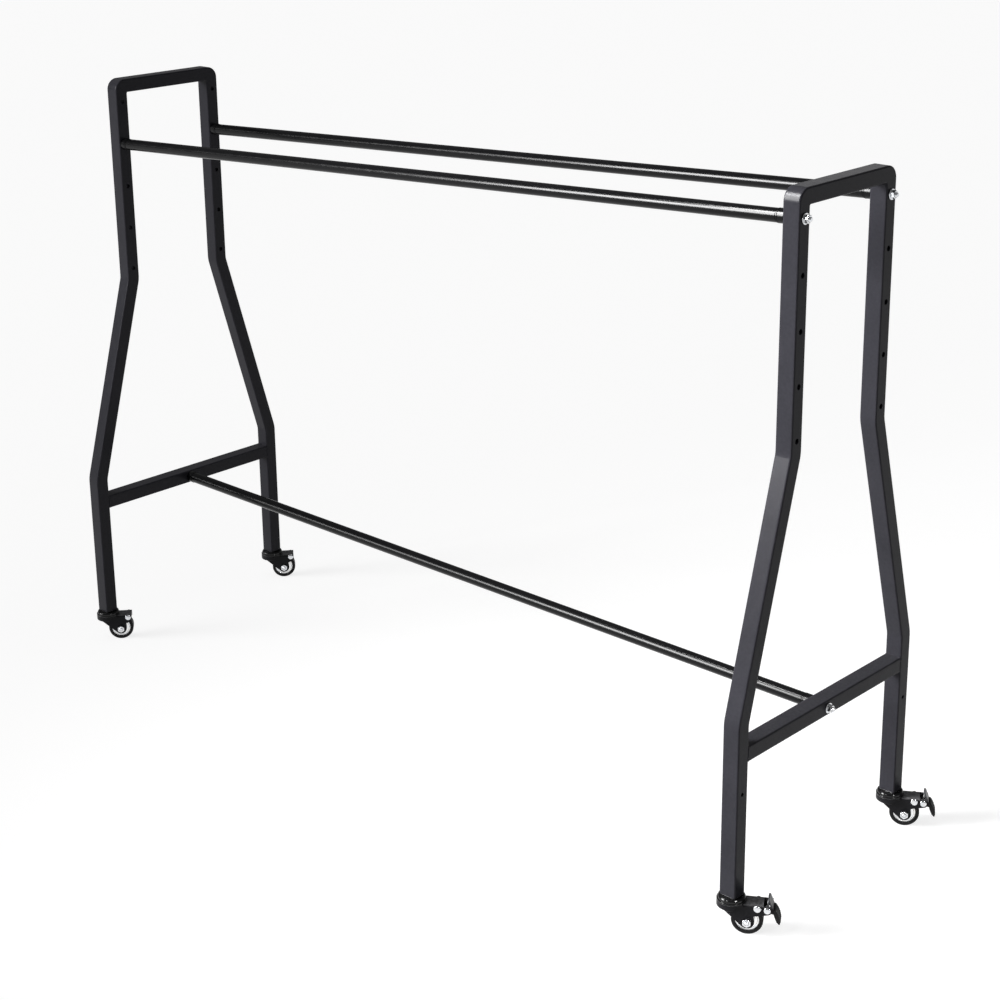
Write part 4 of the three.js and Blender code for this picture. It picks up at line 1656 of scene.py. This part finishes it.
@dataclass
class Caster:
    """The fork, wheel and fasteners of one caster, with X along the trail and Y along the axle."""

    stand: Stand
    trail: float = 21.0
    wheel: float = 42.0
    plate: float = 2.0
    width: float = 26.0
    top: float = 45.0
    bend: float = 3.0
    nose_reach: float = 14.8
    nose_height: float = 40.6
    eye: float = 9.7
    notch_reach: float = 29.4
    notch_height: float = 29.3
    notch_lean: float = 2.4
    tail_steps: int = 33
    tail_reach: float = 39.5
    tail_height: float = 35.0
    tail_lip: float = 7.0
    lip_start: float = 36.0
    lip_bend: float = 1.5
    boss: float = 6.5
    braked_top_reach: float = 41.0
    head: float = 39.4
    head_rise: float = 0.02
    skirt: float = 2.2
    skirt_depth: float = 7.5
    skirt_reach: float = 5.0
    skirt_fade: float = 3.0
    rivet: float = 4.0
    rivet_reach: float = 34.0
    rivet_height: float = 41.0
    rivet_head: float = 9.7
    rivet_thickness: float = 2.0
    upset_share: float = 0.72
    pin: float = 3.0
    pin_head: float = 9.0
    pin_thickness: float = 1.8
    gap: float = 0.3
    seated: float = 0.8
    axle: float = 6.0
    shank_sunk: float = 2.0
    thread_sunk: float = 3.0
    nut_play: float = 0.1
    hex_flats: float = 10.5
    bolt_head: float = 4.0
    nut_thickness: float = 4.4
    bolt_proud: float = 0.9
    tyre_width: float = 18.0
    tyre_wall: float = 5.2
    disc_width: float = 14.0
    core: float = 12.0
    core_width: float = 21.0
    edge: float = 0.35
    head_steps: int = 96
    tyre_steps: int = 112
    disc_steps: int = 96
    rivet_steps: int = 48
    shank_steps: int = 32

    def lower_edge(self) -> tuple[list[Vector], list[Vector]]:
        """Follows the lower edge of a fork's side from the nose round the axle to the tail.

        Returns:
            The points before the notch, and those from there on.
        """
        nose_steps, eye_steps, neck_steps, boss_steps = 10, 22, 3, 12
        axle = Vector((self.trail, self.wheel / 2))
        nose = Vector((-self.nose_reach, self.nose_height))
        notch = Vector((self.notch_reach, self.notch_height))
        eye = swept(axle, touch(nose, axle, self.eye, 1), touch(notch, axle, self.eye, -1), eye_steps)
        if self.stand.braked:
            pin = Vector(self.stand.pedal_pin)
            tail = swept(pin, touch(notch, pin, self.boss, 1), pin + Vector((self.boss, 0.0)), boss_steps)
        else:
            tail = [Vector((self.tail_reach, self.tail_height))]
        steps = self.tail_steps - len(tail)
        before = [nose.lerp(eye[0], i / nose_steps) for i in range(nose_steps)] + eye
        before += [eye[-1].lerp(notch, i / neck_steps) for i in range(1, neck_steps)]
        after = [notch.lerp(tail[0], i / steps) for i in range(steps)] + tail
        return before, after

    def on_the_lip(self, reach: float, last: float) -> tuple[float, float]:
        """Follows a plain fork's roof to its tail, round the bend and down the lip.

        Args:
            reach: the place along the roof, as if it were flat.
            last: where the flat roof would end.

        Returns:
            The place along the trail and the height.
        """
        half, bend = self.plate / 2, self.lip_bend
        roof, lip_at = self.top - half, self.tail_reach - half
        flat = lip_at - bend - self.lip_start
        arc = bend * QUARTER_TURN
        length = flat + arc + self.tail_lip - half - bend
        run = length * (reach - self.lip_start) / (last - self.lip_start)
        if run <= flat:
            return self.lip_start + run, roof
        if run <= flat + arc:
            angle = (run - flat) / bend
            return lip_at - bend + bend * math.sin(angle), roof - bend + bend * math.cos(angle)
        return lip_at, roof - bend - (run - flat - arc)

    def bent_rows(self) -> tuple[list[Corner], int]:
        """Lays out the rows of a fork's sheet, up one side, over the roof and down the other side.

        Returns:
            For each row the share of the side's height, the place along the axle and the rise in the
            bend, and then the number of rows on one side with its bend.
        """
        steps = 6
        radius = self.bend - self.plate / 2
        side = self.width / 2 - self.plate / 2
        near = [(i / steps, -side, 0.0) for i in range(steps + 1)]
        for angle in quarter(steps)[1:]:
            near.append((1.0, radius - side - radius * math.cos(angle), radius * math.sin(angle)))
        roof = [(1.0, (radius - side) * (1 - i / steps), radius) for i in range(1, 2 * steps)]
        far = [(share, -y, rise) for share, y, rise in reversed(near)]
        return near + roof + far, len(near)

    def channel(self) -> bpy.types.Object:
        """Makes the bent sheet of a fork, with its thickness and rounded edges.

        Returns:
            The object, closed and without the round head.
        """
        braked = self.stand.braked
        before, after = self.lower_edge()
        lower = before + after
        first, turn, last = -self.nose_reach, self.notch_reach - self.notch_lean, after[-1].x
        tops = [first + (turn - first) * i / len(before) for i in range(len(before))]
        tops += [turn + (last - turn) * i / (len(after) - 1) for i in range(len(after))]
        knee = self.top - self.bend
        rows, first_roof = self.bent_rows()
        last_roof = len(rows) - first_roof - 1
        points: list[Vector] = []
        for j, (share, y, rise) in enumerate(rows):
            for spot, reach in zip(lower, tops):
                x = spot.x + (reach - spot.x) * share
                z = spot.y + (knee - spot.y) * share + rise
                if first_roof <= j <= last_roof and not braked and reach > self.lip_start:
                    x, z = self.on_the_lip(reach, last)
                points.append(Vector((x, y, z)))
        count, fold = len(lower), 3
        faces = []
        for j in range(len(rows) - 1):
            beside_roof = j in (first_roof - 1, last_roof)
            over = first_roof - fold <= j < last_roof + fold
            for i in range(count - 1):
                cut_away = over and braked and tops[i] > self.braked_top_reach
                relief = beside_roof and not braked and tops[i] > self.lip_start
                if cut_away or relief:
                    continue
                start = j * count + i
                faces.append((start, start + 1, start + count + 1, start + count))
        return thickened(object_of("fork_sheet", Skin(points, faces)), self.plate, self.edge)

    def head_skin(self) -> Skin:
        """Makes the round head with a skirt that fades out towards the trail.

        Returns:
            The closed skin about the stem.
        """
        soft, bulge, foot_most = 0.5, 0.3, 0.4
        outer, inner = self.head / 2, self.head / 2 - self.skirt
        under = self.top - self.plate
        rings: list[list[Vector]] = [[] for _ in range(9)]
        for angle in circle(self.head_steps):
            x, y = math.cos(angle), math.sin(angle)
            share = (self.skirt_reach + self.skirt_fade / 2 - x * outer) / self.skirt_fade
            share = min(1.0, max(0.0, share))
            fade = share * share * (3 - 2 * share)
            low = under - (self.skirt_depth - self.plate) * fade
            foot = min(foot_most, (under - low) / 2)
            profile = (
                (0.0, self.top), (outer - soft, self.top), (outer - soft * bulge, self.top - soft * bulge),
                (outer, self.top - soft), (outer, low + foot), (outer - foot, low),
                (inner + foot, low), (inner, low + foot), (0.0, under),
            )
            for ring, (radius, z) in zip(rings, profile):
                ring.append(Vector((radius * x, radius * y, z)))
        ceiling = [Vector((point.x, point.y, under)) for point in rings[7]]
        return loft(rings[:8] + [ceiling, rings[8]])

    def build_fork(self) -> None:
        """Makes the fork."""
        raised = self.head_skin().placed(Matrix.Translation((0.0, 0.0, self.head_rise)))
        whole = united(self.channel(), object_of("fork_head", raised))
        whole.name = f"fork_shell_{self.stand.name}"
        place = self.stand.place.copy()
        place.translation *= MM
        whole.data.transform(place)
        dressed(whole, FORK_PAINT, self.stand.berth("swivel", Slot.FORK, "fork"))

    def rivet_end(self, inner: float, rim: float, rise: float) -> list[tuple[float, float]]:
        """Gives the profile of one domed end of a pin.

        Args:
            inner: the radius of the pin.
            rim: the radius of its end.
            rise: the height of the dome.

        Returns:
            Radius and place along the axle, from the middle of the dome to the pin.
        """
        rim_share = 0.28
        face = self.width / 2 + self.gap * (1 - self.seated)
        dome = [
            (rim * math.sin(a), face + rise * (rim_share + (1 - rim_share) * math.cos(a)))
            for a in quarter(steps=10)
        ]
        return [(0.0, dome[0][1]), *dome[1:], (rim, face), (inner, face)]

    def rivet_skin(self, diameter: float, head: float, thickness: float) -> Skin:
        """Makes a pin across the fork, with a domed head in front and a smaller upset end behind.

        Args:
            diameter: the pin's diameter.
            head: the diameter of its heads.
            thickness: the height of its heads.

        Returns:
            The turned skin along Y.
        """
        upset = self.rivet_end(diameter / 2, head / 2 * self.upset_share, thickness * self.upset_share)
        made = self.rivet_end(diameter / 2, head / 2, self.gap * self.seated + thickness)
        return turned(upset + [(radius, -y) for radius, y in reversed(made)], self.rivet_steps)

    def build_pins(self) -> None:
        """Makes the cross rivet, and the pedal's pin where there is a brake."""
        stand = self.stand
        rivet = (self.rivet, self.rivet_head, self.rivet_thickness)
        pins = [("cross_rivet", "fork_rivet", rivet, stand.at(self.rivet_reach, self.rivet_height))]
        if stand.braked:
            pin = (self.pin, self.pin_head, self.pin_thickness)
            pins.append(("pedal_pin", "brake_pin", pin, stand.at(*stand.pedal_pin)))
        for name, node, sizes, place in pins:
            skin = self.rivet_skin(*sizes).placed(place)
            piece(f"{name}_{stand.name}", skin, ZINC, stand.berth("swivel", Slot.ZINC, node))

    def build_axle(self) -> None:
        """Makes the axle bolt and its nut."""
        stand = self.stand
        place = stand.at(self.trail, self.wheel / 2)
        face = self.width / 2 + self.gap
        seat = self.gap * self.seated
        start, shaft = -face + self.shank_sunk, self.axle / 2
        head = Hexagon(self.hex_flats, face - seat, face + self.bolt_head)
        outline = [(0.0, start), (shaft, start), (shaft, face), (0.0, face)]
        shank = turned(outline, self.shank_steps)
        end = -(face + self.nut_thickness + self.bolt_proud)
        thread = Thread(self.axle, end, -face + self.thread_sunk)
        nut = Hexagon(self.hex_flats, -face - self.nut_thickness, -face + seat, shaft + self.nut_play)
        for name, skin, node in (
            ("axle_screw", head.skin().plus(shank, thread.skin()), "axle_bolt"),
            ("axle_hex", nut.skin(), "axle_nut"),
        ):
            berth = stand.berth("swivel", Slot.ZINC, node)
            piece(f"{name}_{stand.name}", skin.placed(place), ZINC, berth, HEX_CREASE)

    def tyre_side(self) -> list[Corner]:
        """Gives the corners of one half of the tyre, from the bead over the wall to the tread.

        Returns:
            Radius, place along the axle and rounding of each corner.
        """
        outer, half = self.wheel / 2, self.tyre_width / 2
        bead = outer - self.tyre_wall
        flat = outer - 0.08
        return [
            (bead, half - 0.8, 0.2), (bead + 0.5, half - 0.15, 0.3), (bead + 1.4, half, 0.3),
            (bead + 1.7, half - 0.35, 0.2), (outer - 2.4, half - 0.3, 0.3), (outer - 1.9, half, 0.3),
            (flat, half - 1.0, 1.4), (flat, 0.35, 0.1), (outer, 0.2, 0.05),
        ]

    def disc_side(self) -> list[Corner]:
        """Gives the corners of one half of the disc, from the bore over the core to the rim.

        Returns:
            Radius, place along the axle and rounding of each corner.
        """
        rim = self.wheel / 2 - self.tyre_wall - self.gap * (1 - self.seated)
        disc, core, middle = self.disc_width / 2, self.core_width / 2, self.core / 2
        return [
            (self.axle / 2 + self.gap, core, 0.3), (middle, core, 0.5), (middle + 0.3, disc + 0.1, 0.8),
            (rim - 2.6, disc - 0.2, 0.6), (rim - 2.0, disc - 0.7, 0.4), (rim - 0.9, disc - 0.7, 0.3),
            (rim - 0.5, disc, 0.3), (rim, disc, 0.2),
        ]

    def build_wheel(self) -> None:
        """Makes the tyre and the bright disc of the wheel."""
        stand = self.stand
        place = stand.at(self.trail, self.wheel / 2)
        for name, skin, finish, slot, node in (
            ("rubber_tyre", turned_pair(self.tyre_side(), self.tyre_steps), TYRE, Slot.TYRE, "tyre"),
            ("wheel_disc", turned_pair(self.disc_side(), self.disc_steps), DISC, Slot.HUB, "hub"),
        ):
            made = object_of(f"{name}_{stand.name}", skin.placed(place))
            mark_radius(made.data, place)
            dressed(made, finish, stand.berth("wheel", slot, node))

    def build(self) -> None:
        """Makes the parts below the swivel."""
        self.build_fork()
        self.build_pins()
        self.build_axle()
        self.build_wheel()


@dataclass
class Brake:
    """The pedal of one braked caster, with sizes from the pedal's pin and X along the trail."""

    stand: Stand
    width: float = 21.0
    plate: float = 2.0
    top_reach: float = 1.4
    top_rise: float = 13.8
    tongue: float = 7.5
    knee_reach: float = 5.2
    knee_rise: float = 4.3
    knee_radius: float = 3.0
    tip_reach: float = 13.2
    tip_drop: float = 17.7
    pad_length: float = 22.0
    pad_thickness: float = 6.0
    pad_overrun: float = 4.0
    pad_lift: float = 1.5
    pad_soft: float = 1.6
    rib_count: int = 8
    rib_radius: float = 0.55
    rib_inset: float = 0.6
    rib_from: float = 38.0
    rib_span: float = 104.0
    rib_sunk: float = 0.3
    cheek: float = 4.2
    cheek_drop: float = 6.5
    shoe_reach: float = 10.3
    shoe_thickness: float = 3.0
    shoe_inset: float = 5.0
    shoe_overlap: float = 1.0
    shoe_soft: float = 0.5
    shoe_angle: float = math.radians(233.9)
    overlap: float = 0.05
    spring_from: float = 1.5
    spring_length: float = 7.5
    spring_bow: float = 1.7
    spring_gauge: float = 1.0
    spring_width: float = 15.0
    spring_edge: float = 0.15
    cheek_edge: float = 0.3
    edge: float = 0.35

    @property
    def place(self) -> Matrix:
        """Where the pedal's pin is."""
        return self.stand.at(*self.stand.pedal_pin)

    @property
    def knee(self) -> Vector:
        """Where the plate bends."""
        return Vector((self.knee_reach, self.knee_rise))

    @property
    def tip(self) -> Vector:
        """Where the plate ends, inside the pad."""
        return Vector((self.tip_reach, -self.tip_drop))

    @property
    def arm(self) -> Vector:
        """The direction from the pin to the shoe."""
        return Vector((math.cos(self.shoe_angle), math.sin(self.shoe_angle)))

    def plate_sheet(self) -> bpy.types.Object:
        """Makes the bent plate with its rounded top.

        Returns:
            The closed sheet.
        """
        columns, tongue_steps, tip_steps = 14, 12, 6
        line = softened(
            [(self.top_reach, self.top_rise, 0.0), (*self.knee, self.knee_radius), (*self.tip, 0.0)],
            closed=False, steps=6,
        )
        path = [line[0].lerp(line[1], i / tongue_steps) for i in range(tongue_steps)] + line[1:-1]
        path += [line[-2].lerp(line[-1], i / tip_steps) for i in range(1, tip_steps + 1)]
        crown = self.top_rise + self.plate
        points: list[Vector] = []
        for spot in path:
            room = min(self.tongue, crown - spot.y)
            lost = self.tongue - math.sqrt(self.tongue ** 2 - (self.tongue - room) ** 2)
            half = self.width / 2 - (lost if room < self.tongue else 0.0)
            points += [Vector((spot.x, half * (2 * i / columns - 1), spot.y)) for i in range(columns + 1)]
        row = columns + 1
        faces = [
            (j * row + i, j * row + i + 1, (j + 1) * row + i + 1, (j + 1) * row + i)
            for j in range(len(path) - 1)
            for i in range(columns)
        ]
        sheet = object_of("pedal_sheet", Skin(points, faces).placed(self.place))
        return thickened(sheet, self.plate, self.edge)

    def cheek_outline(self) -> list[Vector]:
        """Gives the side view of a cheek, round about the pin, with the arm of the shoe.

        Returns:
            The points of the outline.
        """
        pin = Vector((0.0, 0.0))
        share = (self.knee_rise + self.cheek_drop) / (self.knee_rise + self.tip_drop)
        foot = self.knee.lerp(self.tip, share)
        start, end = touch(self.knee, pin, self.cheek, 1), touch(foot, pin, self.cheek, -1)
        spread = math.asin(self.shoe_thickness / 2 / self.cheek)
        near = [Matrix.Rotation(turn, 2) @ self.arm * self.cheek for turn in (-spread, spread)]
        aside = Vector((-self.arm.y, self.arm.x)) * self.shoe_thickness / 2
        far = [self.arm * self.shoe_reach - aside, self.arm * self.shoe_reach + aside]
        back, front = swept(pin, start, near[0], steps=10), swept(pin, near[1], end, steps=2)
        return [self.knee, *back, *far, *front, foot]

    def shoe_outline(self) -> list[Vector]:
        """Gives the side view of the shoe's bar, a little inside the arms.

        Returns:
            The points of the outline.
        """
        aside = Vector((-self.arm.y, self.arm.x)) * (self.shoe_thickness / 2 - self.overlap)
        near, far = self.arm * self.shoe_inset, self.arm * (self.shoe_reach - self.overlap)
        corners = [near - aside, far - aside, far + aside, near + aside]
        return softened([(*spot, self.shoe_soft) for spot in corners], steps=3)

    def spring_outline(self) -> list[Vector]:
        """Gives the side view of the bowed leaf spring on the plate's inner face.

        Returns:
            The points of the outline.
        """
        top = Vector((self.top_reach, self.top_rise))
        down = (self.knee - top).normalized()
        inward = Vector((down.y, -down.x))
        steps, seat = 12, self.plate / 2 + self.spring_gauge / 2 - self.overlap
        inner, outer = [], []
        for i in range(steps + 1):
            share = i / steps
            away = seat + self.spring_bow * math.sin(math.pi * share)
            spot = top + down * (self.spring_from + self.spring_length * share) + inward * away
            inner.append(spot + inward * self.spring_gauge / 2)
            outer.append(spot - inward * self.spring_gauge / 2)
        return inner + outer[::-1]

    def round_the_pad(self, angle: float, trim: float, flatter: float) -> Vector:
        """Finds a place on the oval round the pad, seen from the side.

        Args:
            angle: the direction from the middle, from down the plate towards the outside.
            trim: how much shorter the oval is at each end.
            flatter: how much thinner it is on each face.

        Returns:
            The place from the pin.
        """
        down = (self.tip - self.knee).normalized()
        outward = Vector((-down.y, down.x))
        middle = self.tip + down * (self.pad_overrun - self.pad_length / 2) + outward * self.pad_lift
        long = down * math.cos(angle) * (self.pad_length / 2 - trim)
        return middle + long + outward * math.sin(angle) * (self.pad_thickness / 2 - flatter)

    def pad_skin(self) -> Skin:
        """Makes the rounded rubber pad.

        Returns:
            The closed skin, from the pin.
        """
        soft, half = self.pad_soft, self.width / 2
        levels = [(half - soft + soft * math.sin(a), soft - soft * math.cos(a)) for a in quarter(steps=6)]
        levels = [(-y, trim) for y, trim in reversed(levels)] + levels
        rings = []
        for y, trim in levels:
            spots = [self.round_the_pad(angle, trim, trim) for angle in circle(steps=40)]
            rings.append([Vector((spot.x, y, spot.y)) for spot in spots])
        return loft(rings, capped=True)

    def rib_host(self) -> bpy.types.Object:
        """Makes the line over the pad's outer face that the ribs follow.

        Returns:
            The line as an object.
        """
        steps, sunk = 24, self.rib_radius * self.rib_sunk
        angles = [math.radians(self.rib_from + self.rib_span * i / steps) for i in range(steps + 1)]
        spots = [self.round_the_pad(angle, 0.0, sunk) for angle in angles]
        points = [self.place @ Vector((spot.x, 0.0, spot.y)) for spot in spots]
        return object_of(f"pad_ribs_{self.stand.name}", Skin(points), [(i, i + 1) for i in range(steps)])

    def rib_skin(self) -> Skin:
        """Makes one rib, a bar across the pad with round ends.

        Returns:
            The closed skin along Y.
        """
        reach = self.width / 2 - self.pad_soft - self.rib_inset
        cap = [
            (self.rib_radius * math.cos(a), reach + self.rib_radius * math.sin(a))
            for a in quarter(steps=3)
        ]
        end = cap.pop()[1]
        other = [(radius, -y) for radius, y in reversed(cap)]
        return turned([(0.0, -end), *other, *cap, (0.0, end)], steps=10)

    def build_steel(self) -> None:
        """Makes the plate, its cheeks, the shoe and the spring."""
        stand, place = self.stand, self.place
        berth = stand.berth("pedal", Slot.PEDAL, "brake_pedal")
        sheet = self.plate_sheet()
        sheet.name = f"pedal_plate_{stand.name}"
        dressed(sheet, PEDAL_PAINT, berth)
        half, inner = self.width / 2, self.width / 2 - self.plate
        cheeks = plate(self.cheek_outline(), -half, -inner).plus(plate(self.cheek_outline(), inner, half))
        rounded = bevelled(object_of(f"pedal_cheeks_{stand.name}", cheeks.placed(place)), self.cheek_edge)
        dressed(rounded, PEDAL_PAINT, berth)
        reach = inner + self.shoe_overlap
        shoe = plate(self.shoe_outline(), -reach, reach).placed(place)
        piece(f"brake_shoe_{stand.name}", shoe, PEDAL_PAINT, berth)
        leaf = plate(self.spring_outline(), -self.spring_width / 2, self.spring_width / 2)
        spring = bevelled(object_of(f"pedal_spring_{stand.name}", leaf.placed(place)), self.spring_edge)
        dressed(spring, ZINC, stand.berth("pedal", Slot.ZINC, "brake_pedal"))

    def build_pad(self) -> None:
        """Makes the rubber pad with its ribs."""
        berth = self.stand.berth("pedal", Slot.PEDAL, "brake_pedal")
        piece(f"foot_pad_{self.stand.name}", self.pad_skin().placed(self.place), PAD, berth)
        shape = object_of("shape", self.rib_skin().placed(self.place.to_3x3().to_4x4()))
        host = self.rib_host()
        rib_tree().run(host, Shape=shape, Count=self.rib_count, Finish=PAD.material())
        bpy.data.objects.remove(shape)
        dressed(host, PAD, berth)

    def build(self) -> None:
        """Makes the pedal."""
        self.build_steel()
        self.build_pad()


# Floor, light and camera

@dataclass(frozen=True)
class FarLamp:
    """A broad light from far away. The azimuth runs from the front towards the right, in degrees."""

    name: str
    azimuth: float
    elevation: float
    strength: float
    spread: float


@dataclass(frozen=True)
class NearLamp:
    """A softbox, by its place from the middle of the cart and the place that it looks at.

    One that is sheen_only makes a glint and leaves the paint as dark as it is.
    """

    name: str
    place: tuple[float, float, float]
    aim: tuple[float, float, float]
    power: float
    width: float
    height: float
    beam: float
    sheen_only: bool = False


@dataclass
class Studio:
    """The pale floor, the lamps, the dim white world and the camera."""

    middle: Vector
    lens: float = 71.12
    azimuth: float = 43.56
    elevation: float = 17.15
    roll: float = -0.64
    distance: float = 2904.0
    target: Vector = field(default_factory=lambda: Vector((95.5, 0.0, 584.7)))
    rise_shift: float = -0.12
    world_light: float = 0.15
    floor_glow: float = 0.8
    floor_size: float = 60000.0
    floor_colour: Colour = (0.35, 0.35, 0.35)
    far_lamps: tuple[FarLamp, ...] = (
        FarLamp("key", -36.0, 17.0, 2.1, 22.0),
        FarLamp("overhead", -20.0, 75.0, 0.3, 60.0),
    )
    near_lamps: tuple[NearLamp, ...] = (
        NearLamp("strip", (-950.0, -1780.0, 1450.0), (450.0, -100.0, 880.0), 13.0, 800.0, 1000.0, 60.0),
        NearLamp("high", (-600.0, -1150.0, 2050.0), (500.0, 0.0, 100.0), 1.0, 300.0, 300.0, 36.0),
        NearLamp("front_catch", (470.0, -2290.0, 1710.0), (600.0, -150.0, 100.0), 0.6, 420.0, 420.0, 40.0),
        NearLamp("side_catch", (2500.0, -700.0, 1380.0), (675.0, -100.0, 50.0), 1.2, 350.0, 350.0, 36.0,
                 sheen_only=True),
        NearLamp("back_catch", (-258.0, 1407.0, 1298.0), (675.0, 0.0, 965.0), 0.02, 500.0, 300.0, 60.0),
        NearLamp("bend_catch", (340.0, -431.0, 1323.0), (675.0, -97.0, 955.0), 1.0, 200.0, 330.0, 40.0,
                 sheen_only=True),
    )

    def direction(self, azimuth: float, elevation: float) -> Vector:
        """Gives the direction from the cart at an azimuth from the front and an elevation, in degrees."""
        a, e = math.radians(azimuth), math.radians(elevation)
        return Vector((math.sin(a) * math.cos(e), -math.cos(a) * math.cos(e), math.sin(e)))

    def seen(self, graph: Graph) -> Socket:
        """Tells which rays see the floor as a background.

        Args:
            graph: the tree that the nodes go into.

        Returns:
            1 for rays that see it directly, mirrored or through glass, and 0 for the others.
        """
        path = graph.add("ShaderNodeLightPath").outputs
        direct = graph.math("MAXIMUM", path["Is Camera Ray"], path["Is Glossy Ray"])
        return graph.math("MAXIMUM", direct, path["Is Transmission Ray"])

    def build_world(self) -> None:
        """Makes a plain white world, dim enough to light the cart only gently."""
        world = bpy.data.worlds.new("pale_room")
        world.use_nodes = True
        bpy.context.scene.world = world
        back = world.node_tree.nodes["Background"]
        back.inputs["Color"].default_value = (1.0, 1.0, 1.0, 1.0)
        back.inputs["Strength"].default_value = self.world_light

    def build_floor(self) -> None:
        """Makes the pale floor, which keeps the cart's shadow and is white to the camera."""
        half = self.floor_size / 2
        corners = [Vector((a * half, b * half, 0.0)) for a, b in SQUARE]
        floor = object_of("floor", Skin(corners, [(0, 1, 2, 3)]))
        made = bpy.data.materials.new("pale_floor")
        made.use_nodes = True
        nodes = made.node_tree.nodes
        graph = Graph(made.node_tree)
        nodes.remove(nodes["Principled BSDF"])
        matt = graph.out("ShaderNodeBsdfDiffuse", {"Color": (*self.floor_colour, 1.0)})
        strength = graph.math("MULTIPLY", self.seen(graph), self.floor_glow)
        glow = graph.out("ShaderNodeEmission", {"Strength": strength})
        both = graph.out("ShaderNodeAddShader", {0: matt, 1: glow})
        made.node_tree.links.new(both, nodes["Material Output"].inputs["Surface"])
        floor.data.materials.append(made)

    def hung(self, data: bpy.types.Light, place: Vector, away: Vector) -> bpy.types.Object:
        """Hangs a lamp.

        Args:
            data: the lamp.
            place: where it hangs, in mm.
            away: the direction that its back faces.

        Returns:
            The lamp's object, which the camera doesn't see.
        """
        made = bpy.data.objects.new(data.name, data)
        made.location = place * MM
        made.rotation_euler = away.to_track_quat("Z", "Y").to_euler()
        made.visible_camera = False
        bpy.context.scene.collection.objects.link(made)
        return made

    def build_lamps(self) -> None:
        """Makes the soft lamps."""
        for far in self.far_lamps:
            data = bpy.data.lights.new(far.name, "SUN")
            data.energy = far.strength
            data.angle = math.radians(far.spread)
            away = self.direction(far.azimuth, far.elevation)
            self.hung(data, self.middle + away * self.distance, away)
        for near in self.near_lamps:
            data = bpy.data.lights.new(near.name, "AREA")
            data.energy = near.power
            data.shape = "RECTANGLE"
            data.size = near.width * MM
            data.size_y = near.height * MM
            data.spread = math.radians(near.beam)
            place = Vector(near.place)
            made = self.hung(data, self.middle + place, place - Vector(near.aim))
            made.visible_diffuse = not near.sheen_only

    def build_camera(self) -> None:
        """Puts the camera where the photograph was taken from."""
        data = bpy.data.cameras.new("camera")
        data.lens = self.lens
        data.shift_y = self.rise_shift
        back = self.direction(self.azimuth, self.elevation)
        right = (-back).cross(Vector((0.0, 0.0, 1.0))).normalized()
        up = right.cross(-back)
        tilt = math.radians(self.roll)
        across = right * math.cos(tilt) + up * math.sin(tilt)
        over = up * math.cos(tilt) - right * math.sin(tilt)
        turn = Matrix((across, over, back)).transposed().to_4x4()
        place = (self.middle + self.target + back * self.distance) * MM
        camera = bpy.data.objects.new("camera", data)
        camera.matrix_world = Matrix.Translation(place) @ turn
        bpy.context.scene.collection.objects.link(camera)
        bpy.context.scene.camera = camera

    def build(self) -> None:
        """Makes everything round the cart."""
        bpy.context.scene.view_settings.view_transform = "Standard"
        self.build_world()
        self.build_floor()
        self.build_lamps()
        self.build_camera()


def main() -> None:
    """Builds every piece in order."""
    logging.basicConfig(level=logging.INFO, format="%(message)s", stream=sys.stdout)
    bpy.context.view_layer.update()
    middle = cart_middle()
    Studio(middle).build()
    EndFrames(middle).build()
    Rails(middle).build()
    places = stands()
    SwivelHeads().build(places)
    for stand in places:
        Caster(stand).build()
    for stand in places:
        if stand.braked:
            Brake(stand).build()


if __name__ == "__main__":
    main()
